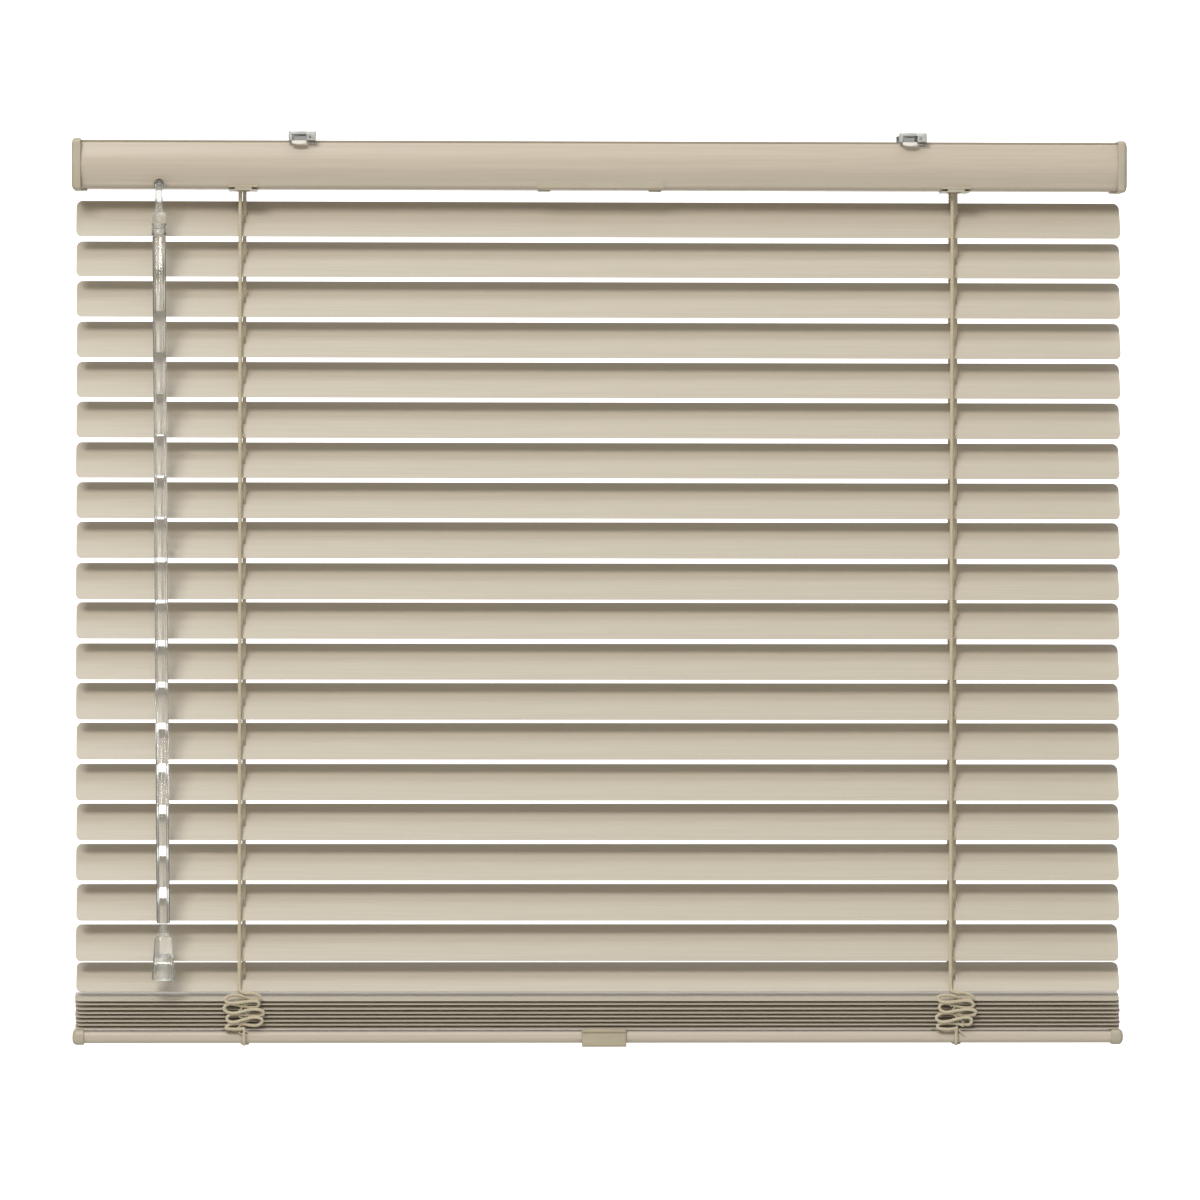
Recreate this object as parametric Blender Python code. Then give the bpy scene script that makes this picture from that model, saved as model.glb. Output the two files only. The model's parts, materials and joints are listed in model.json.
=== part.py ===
"""Venetian blind, 600 mm wide, with 25 mm curved slats.

An open-topped headrail carries a worm tilter, a tilt rod with two ladder drums, and a cordless
spring lift. Twenty slats hang spread on two ladders, eight more lie stacked on the bottom rail.
Metres, +Z up, front facing -Y. The origin is the middle of the plane of the bracket tops.
"""

import math

import bmesh
import bpy
from mathutils import Matrix, Vector

MM = 0.001
FIT_GAP = 0.3 * MM                      # clearance between pieces that fit together
RUN_GAP = 0.4 * MM                      # clearance round a shaft that turns

# Headrail, an open-topped channel
RAIL_LENGTH = 596 * MM
RAIL_LADDER_ROOM = 3.5 * MM             # from a level slat's edge to the headrail's outside
RAIL_HEIGHT = 27.4 * MM
RAIL_TOP_Z = -5.0 * MM
RAIL_WALL = 0.7 * MM
RAIL_CORNER = 1.2 * MM
RAIL_FRONT_BULGE = 0.6 * MM
RAIL_LIP = 3.2 * MM

# Headrail end caps
CAP_PROUD = 1.0 * MM
CAP_SLEEVE = 4.1 * MM
CAP_END_WALL = 1.7 * MM
CAP_DOME_INSET = 3.5 * MM
CAP_CORNER = 2.0 * MM
CAP_CORNER_LEAST = 0.8 * MM
CAP_FOOT_LENGTH = 3.4 * MM
CAP_FOOT_WIDTH = 12 * MM

# Mounting brackets
BRACKET_X = (-169 * MM, 177.6 * MM)
BRACKET_WIDTH = 15.7 * MM
BRACKET_PLATE = 1.6 * MM
BRACKET_ARM_DROP = 7.8 * MM
BRACKET_BACK_DROP = 20 * MM
BRACKET_HOOK_REACH = 1.8 * MM
BRACKET_HOOK_THICK = 1.2 * MM
SCREW_RADIUS = 2.1 * MM
SCREW_SPACING = 10 * MM
BRACKET_WINDOW_WIDTH = 7.85 * MM
BRACKET_WINDOW_TOP_Z = -1.9 * MM

# Slats
SLAT_LENGTH = 594 * MM
SLAT_WIDTH = 25 * MM
SLAT_THICK = 0.35 * MM
SLAT_CROWN = 2.0 * MM
SLAT_CORNER = 2.3 * MM
SLAT_STRIPS = 4                         # flat strips across the curve
SLAT_PITCH = 22.87 * MM
FIRST_SLAT_DROP = 16.5 * MM             # from the rail's bottom to the middle of the first slat
SPREAD_COUNT = 19
REST_TILT = math.radians(54)
CLOSED_TILT = math.radians(72)
RESTING_TILT = math.radians(38)         # the lowest spread slat, leaning on the stack
RESTING_LIFT = 4.6 * MM                 # how far the stack props that slat above its even place
ROUTE_SLOT_LENGTH = 11 * MM
ROUTE_SLOT_WIDTH = 3.4 * MM

# Stack of gathered slats
STACK_COUNT = 8
STACK_PITCH = 2.19 * MM
STACK_DROP = 10.2 * MM                  # from the resting slat's middle to the top stacked one

# Ladders and lift cords
LADDER_X = 202.4 * MM
LADDER_RADIUS = 0.6 * MM
CORD_RADIUS = 0.8 * MM
CORD_SIDE = 2.8 * MM                    # the lift cord runs this far to the right of its strings
CORD_BEND = 2.6 * MM
CORD_RUN_Z = -27.5 * MM
LADDER_EDGE_GAP = 0.25 * MM
LADDER_BACK_OVERLAP = 8 * MM            # the back string's end above the resting slat's back edge
TAIL_CORNER = 1.5 * MM
CORD_LOW_DROP = 2.6 * MM                # the cord's low end, below the bottom rail's top

# Tilt rod, drums and tilter
ROD_Z = -12 * MM
ROD_FLATS = 4.0 * MM
ROD_END_SPARE = 14 * MM
DRUM_RADIUS = 6.4 * MM
DRUM_WIDTH = 8 * MM
DRUM_WAIST_DEPTH = 0.8 * MM
DRUM_FLANGE_WIDTH = 1.0 * MM
CRADLE_WIDTH = 16.5 * MM
CRADLE_WINDOW = 7.2 * MM
CRADLE_CHEEK = 1.2 * MM
CRADLE_FOOT = 0.6 * MM
CRADLE_FRAME = 0.8 * MM                 # the window's wall at its front and back
TILTER_X = -250 * MM
WHEEL_RADIUS = 5.7 * MM
WHEEL_TOOTH = 1.0 * MM
WHEEL_TEETH = 14
WHEEL_WIDTH = 6 * MM
WORM_RADIUS = 2.7 * MM
WORM_THREAD = 0.7 * MM
WORM_STARTS = 2
WORM_LENGTH = 11 * MM
WORM_TURNS = 5                          # thread crests past one line along its length
WORM_SLOPE = math.radians(25)           # the stem points this far below level, to the front
STEM_RADIUS = 0.9 * MM
BALL_RADIUS = 1.5 * MM
BALL_Y = -20 * MM
NOTCH_WIDTH = 7.4 * MM
NOTCH_HEIGHT = 6.4 * MM
TILTER_CHEEK = 1.2 * MM
TILTER_INSIDE = 13.2 * MM
TILTER_FRONT_Y = -9 * MM
TILTER_BACK_SPARE = 4 * MM
STEM_COLLAR = 1.2 * MM

# Wand
HOOK_WIDTH = 5.2 * MM
PIN_DROP = 12.5 * MM                    # from the ball to the side-swing pin
PIN_RADIUS = 0.7 * MM
TONGUE_THICK = 1.6 * MM
CHEEK_THICK = 1.2 * MM
CONNECTOR_RADIUS = 4.25 * MM
CONNECTOR_LENGTH = 15.5 * MM
CONNECTOR_GROOVE_Z = 5 * MM             # the collar line's height above the connector's low end
CONNECTOR_GROOVE_HALF = 0.3 * MM
CONNECTOR_GROOVE_EDGE = 0.3 * MM
WAND_RADIUS = 4.5 * MM
WAND_LENGTH = 389 * MM
WAND_LEAN = math.radians(0.4)
GRIP_LENGTH = 32 * MM
GRIP_TOP_RADIUS = 5.4 * MM
GRIP_BOTTOM_RADIUS = 7.3 * MM
GRIP_NECK_RADIUS = 3.0 * MM
GRIP_NECK_LENGTH = 6 * MM
GRIP_SHOULDER = 1.5 * MM
GRIP_EDGE = 2 * MM

# Spring lift in the middle of the headrail
MOTOR_LENGTH = 72 * MM
MOTOR_WALL = 1.2 * MM
MOTOR_HEIGHT = 15.5 * MM
MOTOR_FOOT_X = 31.6 * MM
MOTOR_FOOT_WIDTH = 7 * MM
MOTOR_FOOT_DROP = 0.85 * MM
MOTOR_SPACING = 24 * MM                 # between the spool's and the spring drum's axes
GEAR_TEETH = 22
GEAR_TOOTH = 1.2 * MM
GEAR_THICK = 2.0 * MM
SPOOL_HUB_RADIUS = 6.5 * MM
SPOOL_FLANGE_RADIUS = 9 * MM
SPOOL_HEIGHT = 6.3 * MM
SPRING_RADIUS = 9.5 * MM
SPRING_HEIGHT = 5.4 * MM
SPOOL_FLANGE = 0.8 * MM
POST_RADIUS = 2.0 * MM

# Bottom rail
BOTTOM_LENGTH = 594 * MM
BOTTOM_OVERHANG = 0.3 * MM              # how far the bottom rail stands out past the slats
BOTTOM_HEIGHT = 7.1 * MM
BOTTOM_WALL = 0.7 * MM
BOTTOM_CORNER = 1.6 * MM
BOTTOM_BELOW_STACK = 1.7 * MM
BOTTOM_CAP_PROUD = 1.0 * MM
BOTTOM_CAP_SLEEVE = 5.3 * MM
BOTTOM_CAP_WALL = 1.5 * MM
CORD_HOLE_RADIUS = 1.5 * MM
HANDLE_X = 3 * MM
HANDLE_WIDTH = 25.3 * MM
HANDLE_WALL = 1.2 * MM
HANDLE_LIP = 0.7 * MM
HANDLE_GRIP_REACH = 3 * MM
HANDLE_GRIP_DROP = 1.2 * MM
HANDLE_GRIP_THICK = 1.0 * MM
HANDLE_GRIP_ROOT = 2.2 * MM             # the finger lip's root, above the handle's underside
HANDLE_GRIP_RISE = 0.6 * MM
HANDLE_TOP_STEP = 0.6 * MM
HANDLE_HOLD = 4 * MM

# Sizes and places worked out from the sizes above
RAIL_DEPTH = SLAT_WIDTH + 2 * RAIL_LADDER_ROOM
BOTTOM_DEPTH = SLAT_WIDTH + 2 * BOTTOM_OVERHANG
RAIL_BOTTOM_Z = RAIL_TOP_Z - RAIL_HEIGHT
RAIL_FLOOR_Z = RAIL_BOTTOM_Z + RAIL_WALL
RAIL_HALF = RAIL_DEPTH / 2
INSIDE_HALF = RAIL_HALF - RAIL_FRONT_BULGE - RAIL_WALL
SEAT_Z = RAIL_FLOOR_Z + FIT_GAP
ROD_CORNER = ROD_FLATS / 2 / math.cos(math.pi / 6)
BORE_RADIUS = ROD_CORNER + FIT_GAP
FIRST_MIDDLE_Z = RAIL_BOTTOM_Z - FIRST_SLAT_DROP
CROWN_RISE = SLAT_CROWN * math.cos(REST_TILT)
FIRST_SLAT_Z = FIRST_MIDDLE_Z + CROWN_RISE
RESTING_SLAT_Z = FIRST_MIDDLE_Z - SPREAD_COUNT * SLAT_PITCH + RESTING_LIFT
STACK_TOP_Z = RESTING_SLAT_Z - STACK_DROP - SLAT_CROWN
STACK_LOW_Z = STACK_TOP_Z - (STACK_COUNT - 1) * STACK_PITCH
BOTTOM_TOP_Z = STACK_LOW_Z - SLAT_CROWN - BOTTOM_BELOW_STACK
BOTTOM_MIDDLE_Z = BOTTOM_TOP_Z - BOTTOM_HEIGHT / 2
BOTTOM_LOW_Z = BOTTOM_TOP_Z - BOTTOM_HEIGHT
LADDER_CLEAR = LADDER_RADIUS + LADDER_EDGE_GAP + SLAT_THICK / 2
LADDER_REACH = SLAT_WIDTH / 2 + LADDER_CLEAR / math.cos(REST_TILT)
AXLE_DISTANCE = WHEEL_RADIUS + WORM_RADIUS + FIT_GAP


# ---------------------------------------------------------------- general helpers

def clear_scene():
    for obj in list(bpy.data.objects):
        bpy.data.objects.remove(obj, do_unlink=True)


def make_material(name, color, roughness, metallic=0.0, alpha=1.0):
    made = bpy.data.materials.new(name)
    made.use_nodes = True
    shader = made.node_tree.nodes["Principled BSDF"]
    shader.inputs["Base Color"].default_value = (*color, 1.0)
    shader.inputs["Roughness"].default_value = roughness
    shader.inputs["Metallic"].default_value = metallic
    shader.inputs["Alpha"].default_value = alpha
    return made


def add_object(name, data, parent=None, location=(0, 0, 0), rotation=(0, 0, 0)):
    obj = bpy.data.objects.new(name, data)
    bpy.context.collection.objects.link(obj)
    obj.parent = parent
    obj.location = location
    obj.rotation_euler = rotation
    return obj


def mesh_from(bm, smooth=True):
    """Turn a closed bmesh into a mesh whose faces point out."""
    bmesh.ops.recalc_face_normals(bm, faces=bm.faces)
    mesh = bpy.data.meshes.new("shape")
    bm.to_mesh(mesh)
    bm.free()
    if smooth:
        mesh.shade_smooth()
        mesh.set_sharp_from_angle(angle=math.radians(35))
    return mesh


def loft(rings):
    """Join rings of 3D points, one after the other, and close both ends."""
    bm = bmesh.new()
    loops = [[bm.verts.new(point) for point in ring] for ring in rings]
    for first, second in zip(loops, loops[1:]):
        for i in range(len(first)):
            j = (i + 1) % len(first)
            bm.faces.new((first[i], first[j], second[j], second[i]))
    bm.faces.new(loops[0])
    bm.faces.new(loops[-1])
    return bm


def prism_x(outline, x0, x1):
    """Run an outline of (y, z) points along X."""
    return loft([[(x, y, z) for y, z in outline] for x in (x0, x1)])


def prism_z(outline, z0, z1):
    """Run an outline of (x, y) points up Z."""
    return loft([[(x, y, z) for x, y in outline] for z in (z0, z1)])


def box(x, y, z):
    """A box between two limits on each axis."""
    return prism_x([(y[0], z[0]), (y[1], z[0]), (y[1], z[1]), (y[0], z[1])], x[0], x[1])


def circle(radius, sides, turn=0.0):
    step = 2 * math.pi / sides
    return [(radius * math.cos(turn + i * step), radius * math.sin(turn + i * step)) for i in range(sides)]


def lathe(profile, sides=20):
    """Turn a profile of (radius, z) points, listed from one end to the other, about Z."""
    return loft([[(x, y, z) for x, y in circle(radius, sides)] for radius, z in profile])


def rod_along_x(radius, x0, x1, y, z, sides=16):
    return prism_x([(y + a, z + b) for a, b in circle(radius, sides)], x0, x1)


def combine(obj, tool_mesh, operation, transform=None):
    """Apply one exact Boolean with a throwaway tool mesh."""
    tool = add_object("tool", tool_mesh)
    if transform is not None:
        tool.matrix_world = transform
    modifier = obj.modifiers.new("combine", "BOOLEAN")
    modifier.operation = operation
    modifier.solver = "EXACT"
    modifier.object = tool
    bpy.context.view_layer.update()
    evaluated = obj.evaluated_get(bpy.context.evaluated_depsgraph_get())
    joined = bpy.data.meshes.new_from_object(evaluated)
    obj.modifiers.clear()
    obj.data = joined
    bpy.data.objects.remove(tool)


def cut(obj, bm, transform=None):
    combine(obj, mesh_from(bm, smooth=False), "DIFFERENCE", transform)


def join(obj, bm, transform=None):
    combine(obj, mesh_from(bm, smooth=False), "UNION", transform)


def finish(obj, material):
    """Give a piece its material and its shading."""
    obj.data.materials.clear()
    obj.data.materials.append(material)
    if obj.type == "MESH":
        obj.data.shade_smooth()
        obj.data.set_sharp_from_angle(angle=math.radians(35))


def arc(center, radius, start, end, steps=3):
    """Points on an arc, from one angle to another, in degrees."""
    angles = [math.radians(start + (end - start) * i / steps) for i in range(steps + 1)]
    return [(center[0] + radius * math.cos(a), center[1] + radius * math.sin(a)) for a in angles]


def rounded_box(left, right, low, high, radius, steps=3):
    return (
        arc((right - radius, high - radius), radius, 90, 0, steps)
        + arc((right - radius, low + radius), radius, 0, -90, steps)
        + arc((left + radius, low + radius), radius, 270, 180, steps)
        + arc((left + radius, high - radius), radius, 180, 90, steps)
    )


def add_cord(name, points, radius, material, origin=(0, 0, 0)):
    """A round cord through the given world points, with its own origin."""
    curve = bpy.data.curves.new(name, "CURVE")
    curve.dimensions = "3D"
    curve.bevel_depth = radius
    curve.bevel_resolution = 2
    curve.use_fill_caps = True
    spline = curve.splines.new("POLY")
    spline.points.add(len(points) - 1)
    for spot, point in zip(spline.points, points):
        spot.co = (*(Vector(point) - Vector(origin)), 1.0)
    curve.materials.append(material)
    return add_object(name, curve, location=origin)


def string_x(side):
    """Where a ladder's strings run, a little left of the ladder's middle."""
    return side * LADDER_X - CORD_SIDE / 2


def cord_x(side):
    """Where a ladder's lift cord runs, a little right of the ladder's middle."""
    return side * LADDER_X + CORD_SIDE / 2


# ---------------------------------------------------------------- materials

CREAM_PAINT = (0.60, 0.53, 0.42)
CREAM_PLASTIC = (0.66, 0.58, 0.44)


def make_materials():
    return {
        "paint": make_material("cream_paint", CREAM_PAINT, 0.4),
        "cream": make_material("cream_plastic", CREAM_PLASTIC, 0.45),
        "clear": make_material("clear_plastic", (0.85, 0.86, 0.84), 0.1, alpha=0.4),
        "cord": make_material("polyester_cord", (0.66, 0.58, 0.45), 0.9),
        "steel": make_material("steel", (0.56, 0.57, 0.58), 0.35, metallic=1.0),
        "white": make_material("white_plastic", (0.82, 0.82, 0.80), 0.5),
        "spring": make_material("spring_steel", (0.35, 0.36, 0.38), 0.3, metallic=1.0),
    }


# ---------------------------------------------------------------- headrail

def rail_outline(inset):
    """The headrail's outer outline, moved inward by inset: back wall, floor, then bulged front."""
    back = RAIL_HALF - inset
    front = -(RAIL_HALF - RAIL_FRONT_BULGE - inset)
    top = RAIL_TOP_Z - inset
    low = RAIL_BOTTOM_Z + inset
    radius = max(RAIL_CORNER - inset, 0.3 * MM)
    wall = []
    for i in range(1, 6):
        share = i / 6
        height = low + radius + (top - low - 2 * radius) * share
        wall.append((front - RAIL_FRONT_BULGE * math.sin(math.pi * share), height))
    return (
        arc((back - radius, top - radius), radius, 90, 0)
        + arc((back - radius, low + radius), radius, 0, -90)
        + arc((front + radius, low + radius), radius, 270, 180)
        + wall
        + arc((front + radius, top - radius), radius, 180, 90)
    )


def rail_lip_tip():
    return RAIL_HALF - RAIL_LIP


def make_headrail(mats):
    tip = rail_lip_tip()
    outer = [(tip, RAIL_TOP_Z)] + rail_outline(0.0) + [(-tip, RAIL_TOP_Z)]
    under = RAIL_TOP_Z - RAIL_WALL
    inner = [(-tip, under)] + rail_outline(RAIL_WALL)[::-1] + [(tip, under)]
    rail = add_object("headrail", mesh_from(prism_x(outer + inner, -RAIL_LENGTH / 2, RAIL_LENGTH / 2)))
    deep = (RAIL_BOTTOM_Z - 2 * MM, RAIL_FLOOR_Z + 2 * MM)
    half = window_half() + FIT_GAP
    for side in (-1, 1):
        x = side * LADDER_X
        reach = CRADLE_WINDOW / 2 + CRADLE_CHEEK + FIT_GAP
        cut(rail, box((x - reach, x + reach), (-half, half), deep))
        foot = side * MOTOR_FOOT_X
        wide = MOTOR_FOOT_WIDTH / 2 + FIT_GAP
        cut(rail, box((foot - wide, foot + wide), (-wide, wide), deep))
    notch = (TILTER_X - NOTCH_WIDTH / 2, TILTER_X + NOTCH_WIDTH / 2)
    cut(rail, box(notch, (-RAIL_HALF - 1 * MM, -RAIL_HALF + 5 * MM),
                  (RAIL_BOTTOM_Z - 1 * MM, RAIL_BOTTOM_Z + NOTCH_HEIGHT)))
    finish(rail, mats["paint"])


def cap_section(x, inset, half_depth, low, high, radius):
    outline = rounded_box(-half_depth + inset, half_depth - inset, low + inset, high - inset, radius)
    return [(x, y, z) for y, z in outline]


def make_end_cap(name, side, dims, recess, material):
    """A sleeve cap with a domed end: dims gives its inner x, length, half depth, low, high and wall."""
    start, length, half_depth, low, high, wall = dims
    end = start + length
    sections = [(start, 0.0), (end - 0.9 * wall, 0.0), (end - 0.35 * wall, 0.25 * CAP_DOME_INSET),
                (end, CAP_DOME_INSET * 0.8)]
    rings = []
    for x, inset in sections:
        radius = max(CAP_CORNER - inset / 2, CAP_CORNER_LEAST)
        rings.append(cap_section(side * x, min(inset, (high - low) / 4), half_depth, low, high, radius))
    cap = add_object(name, mesh_from(loft(rings)))
    inner, outer = sorted((side * (start - 1 * MM), side * (end - wall)))
    cut(cap, prism_x(recess, inner, outer))
    finish(cap, material)
    return cap


def make_headrail_caps(mats):
    for name, side in (("headrail_cap_left", -1), ("headrail_cap_right", 1)):
        start = RAIL_LENGTH / 2 + FIT_GAP - CAP_SLEEVE
        low, high = RAIL_BOTTOM_Z - CAP_PROUD, RAIL_TOP_Z + CAP_PROUD
        dims = (start, CAP_SLEEVE + CAP_END_WALL, RAIL_HALF + CAP_PROUD, low, high, CAP_END_WALL)
        cap = make_end_cap(name, side, dims, rail_outline(-FIT_GAP), mats["cream"])
        inner, outer = sorted((side * (start - CAP_FOOT_LENGTH), side * (start + 1 * MM)))
        wide = CAP_FOOT_WIDTH / 2
        join(cap, box((inner, outer), (-wide, wide), (low, RAIL_BOTTOM_Z - FIT_GAP)))
        finish(cap, mats["cream"])


# ---------------------------------------------------------------- brackets

def bracket_outline():
    """Top plate, front arm, two hooks under the headrail's lips, and a back plate."""
    arm_in = -(RAIL_HALF + FIT_GAP)
    arm_out = arm_in - BRACKET_PLATE
    back_in = RAIL_HALF + FIT_GAP
    back_out = back_in + BRACKET_PLATE
    under = -BRACKET_PLATE
    hook_out = rail_lip_tip() - RUN_GAP
    hook_in = hook_out - BRACKET_HOOK_THICK
    foot_top = RAIL_TOP_Z - RAIL_WALL - FIT_GAP
    foot_low = foot_top - BRACKET_HOOK_THICK
    foot_out = hook_out + BRACKET_HOOK_REACH
    back_hook = [(hook_out, under), (hook_out, foot_top), (foot_out, foot_top), (foot_out, foot_low),
                 (hook_in, foot_low), (hook_in, under)]
    front_hook = [(-y, z) for y, z in reversed(back_hook)]
    return (
        [(arm_out, 0.0), (back_out, 0.0), (back_out, -BRACKET_BACK_DROP), (back_in, -BRACKET_BACK_DROP),
         (back_in, under)]
        + back_hook + front_hook
        + [(arm_in, under), (arm_in, -BRACKET_ARM_DROP), (arm_out, -BRACKET_ARM_DROP)]
    )


def make_brackets(mats):
    for name, x in zip(("bracket_left", "bracket_right"), BRACKET_X):
        half = BRACKET_WIDTH / 2
        bracket = add_object(name, mesh_from(prism_x(bracket_outline(), -half, half)),
                             location=(x, 0, 0))
        bpy.context.view_layer.update()
        for spot in (-SCREW_SPACING / 2, SCREW_SPACING / 2):
            hole = [(x + a, spot + b) for a, b in circle(SCREW_RADIUS, 12)]
            cut(bracket, prism_z(hole, -3 * BRACKET_PLATE, BRACKET_PLATE))
        back_hole = Matrix.Translation((x, RAIL_HALF, -BRACKET_BACK_DROP / 2)) @ Matrix.Rotation(
            math.radians(90), 4, "X")
        cut(bracket, prism_z(circle(SCREW_RADIUS, 12), -3 * BRACKET_PLATE, 2 * BRACKET_PLATE), back_hole)
        window = BRACKET_WINDOW_WIDTH / 2
        front = -(RAIL_HALF + FIT_GAP + BRACKET_PLATE)
        cut(bracket, box((x - window, x + window), (front - 1 * MM, front + 2 * BRACKET_PLATE),
                         (RAIL_TOP_Z - FIT_GAP, BRACKET_WINDOW_TOP_Z)))
        finish(bracket, mats["clear"])


# ---------------------------------------------------------------- ladder cradles, rod and drums

def window_half():
    """Half the opening, front to back, that the ladders pass through."""
    return LADDER_REACH


def make_cradles(mats):
    for name, side in (("cradle_left", -1), ("cradle_right", 1)):
        x = side * LADDER_X
        inner = CRADLE_WINDOW / 2
        neck = inner + CRADLE_CHEEK
        half = window_half()
        plate_top = SEAT_Z + CRADLE_CHEEK
        foot_top = RAIL_BOTTOM_Z - FIT_GAP
        foot_low = foot_top - CRADLE_FOOT
        flange = CRADLE_WIDTH / 2
        deep = half + FIT_GAP
        body = add_object(name, mesh_from(box((x - neck, x + neck), (-half, half), (foot_low, plate_top))))
        join(body, box((x - flange, x + flange), (-half, half), (foot_low, foot_top)))
        join(body, box((x - flange, x + flange), (-deep, deep), (SEAT_Z, plate_top)))
        opening = half - CRADLE_FRAME
        cut(body, box((x - inner, x + inner), (-opening, opening),
                      (foot_low - 1 * MM, plate_top + 1 * MM)))
        for cheek in (-1, 1):
            near = DRUM_WIDTH / 2 + RUN_GAP
            low, high = sorted((x + cheek * near, x + cheek * (near + CRADLE_CHEEK)))
            wide = DRUM_RADIUS
            join(body, box((low, high), (-wide, wide), (SEAT_Z, ROD_Z + ROD_CORNER + 2 * CRADLE_CHEEK)))
            cut(body, rod_along_x(ROD_CORNER + RUN_GAP, low - 1 * MM, high + 1 * MM, 0, ROD_Z))
            spare = CORD_RADIUS + RUN_GAP
            cut(body, box((low - 1 * MM, high + 1 * MM), (-spare, spare),
                          (CORD_RUN_Z - spare, CORD_RUN_Z + spare)))
        finish(body, mats["white"])


def make_rod_and_drums(mats):
    x0 = TILTER_X - ROD_END_SPARE
    x1 = LADDER_X + ROD_END_SPARE
    hexagon = circle(ROD_CORNER, 6)
    rod = add_object("tilt_rod", mesh_from(prism_x(hexagon, x0, x1), smooth=False),
                     location=(0, 0, ROD_Z))
    finish(rod, mats["steel"])
    half = DRUM_WIDTH / 2
    waist = DRUM_RADIUS - DRUM_WAIST_DEPTH
    flange = half - DRUM_FLANGE_WIDTH
    groove = flange - DRUM_WAIST_DEPTH
    profile = [(DRUM_RADIUS, -half), (DRUM_RADIUS, -flange), (waist, -groove),
               (waist, groove), (DRUM_RADIUS, flange), (DRUM_RADIUS, half)]
    for name, side in (("ladder_drum_left", -1), ("ladder_drum_right", 1)):
        bm = lathe(profile, 20)
        bmesh.ops.rotate(bm, verts=bm.verts, matrix=Matrix.Rotation(math.radians(90), 3, "Y"))
        drum = add_object(name, mesh_from(bm))
        cut(drum, rod_along_x(BORE_RADIUS, -DRUM_WIDTH, DRUM_WIDTH, 0, 0))
        drum.location = (side * LADDER_X, 0, ROD_Z)
        finish(drum, mats["white"])


# ---------------------------------------------------------------- tilter

def gear_outline(teeth, tip, tooth):
    """A toothed outline with straight-sided teeth."""
    points = []
    for i in range(teeth):
        for share, radius in ((0.0, tip - tooth), (0.3, tip - tooth), (0.45, tip), (0.85, tip)):
            angle = 2 * math.pi * (i + share) / teeth
            points.append((radius * math.cos(angle), radius * math.sin(angle)))
    return points


def make_worm_wheel(mats):
    outline = gear_outline(WHEEL_TEETH, WHEEL_RADIUS, WHEEL_TOOTH)
    wheel = add_object("worm_wheel", mesh_from(prism_x(outline, -WHEEL_WIDTH / 2, WHEEL_WIDTH / 2)))
    cut(wheel, rod_along_x(BORE_RADIUS, -WHEEL_WIDTH, WHEEL_WIDTH, 0, 0))
    wheel.location = (TILTER_X, 0, ROD_Z)
    finish(wheel, mats["white"])


def worm_origin():
    """The worm's middle, behind and below the rod, where its axis passes nearest to the wheel."""
    return Vector((TILTER_X, AXLE_DISTANCE * math.sin(WORM_SLOPE),
                   ROD_Z - AXLE_DISTANCE * math.cos(WORM_SLOPE)))


def ball_reach():
    """The distance along the worm's axis from its middle to the ball at the stem's end."""
    return (worm_origin().y - BALL_Y) / math.cos(WORM_SLOPE)


def ball_center():
    origin = worm_origin()
    reach = ball_reach()
    return Vector((TILTER_X, BALL_Y, origin.z - reach * math.sin(WORM_SLOPE)))


def worm_turn():
    """The rotation about X that lays the worm's own -Z axis along its stem."""
    return -(math.pi / 2 - WORM_SLOPE)


def make_worm(mats):
    sides = 12
    half = WORM_LENGTH / 2
    steps = 30
    rings = [[(x, y, half + STEM_COLLAR) for x, y in circle(STEM_RADIUS, sides)],
             [(x, y, half + 0.2 * MM) for x, y in circle(STEM_RADIUS, sides)]]
    for i in range(steps + 1):
        z = half - WORM_LENGTH * i / steps
        ring = []
        for k in range(sides):
            angle = 2 * math.pi * k / sides
            wave = math.sin(WORM_STARTS * angle + 2 * math.pi * WORM_TURNS * i / steps)
            radius = WORM_RADIUS - WORM_THREAD * (0.5 - 0.5 * wave)
            ring.append((radius * math.cos(angle), radius * math.sin(angle), z))
        rings.append(ring)
    reach = ball_reach()
    neck = math.asin(STEM_RADIUS / BALL_RADIUS)
    rings.append([(x, y, -half - 0.2 * MM) for x, y in circle(STEM_RADIUS, sides)])
    for i in range(6):
        angle = neck + (math.radians(170) - neck) * i / 5
        rings.append([(x, y, -reach + BALL_RADIUS * math.cos(angle))
                      for x, y in circle(BALL_RADIUS * math.sin(angle), sides)])
    worm = add_object("worm", mesh_from(loft(rings)), location=worm_origin(),
                      rotation=(worm_turn(), 0, 0))
    finish(worm, mats["white"])


def make_tilter_housing(mats):
    inside = TILTER_INSIDE / 2
    outside = inside + TILTER_CHEEK
    front = TILTER_FRONT_Y
    back = RAIL_HALF - TILTER_BACK_SPARE
    top = ROD_Z + ROD_CORNER + 2 * TILTER_CHEEK
    x = TILTER_X
    housing = add_object("tilter_housing",
                         mesh_from(box((x - outside, x + outside), (front, back), (SEAT_Z, top))))
    cut(housing, box((x - inside, x + inside), (front + TILTER_CHEEK, back - TILTER_CHEEK),
                     (SEAT_Z + TILTER_CHEEK, top + 1 * MM)))
    cut(housing, box((x - inside, x + inside), (front - 1 * MM, front + 2 * TILTER_CHEEK),
                     (ROD_Z - WHEEL_RADIUS - 1 * MM, top + 1 * MM)))
    cut(housing, rod_along_x(ROD_CORNER + RUN_GAP, x - 2 * outside, x + 2 * outside, 0, ROD_Z))
    placed = Matrix.Translation(worm_origin()) @ Matrix.Rotation(worm_turn(), 4, "X")
    cut(housing, prism_z(circle(STEM_RADIUS + RUN_GAP, 12), -ball_reach(), 0), placed)
    finish(housing, mats["white"])


# ---------------------------------------------------------------- wand

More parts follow.
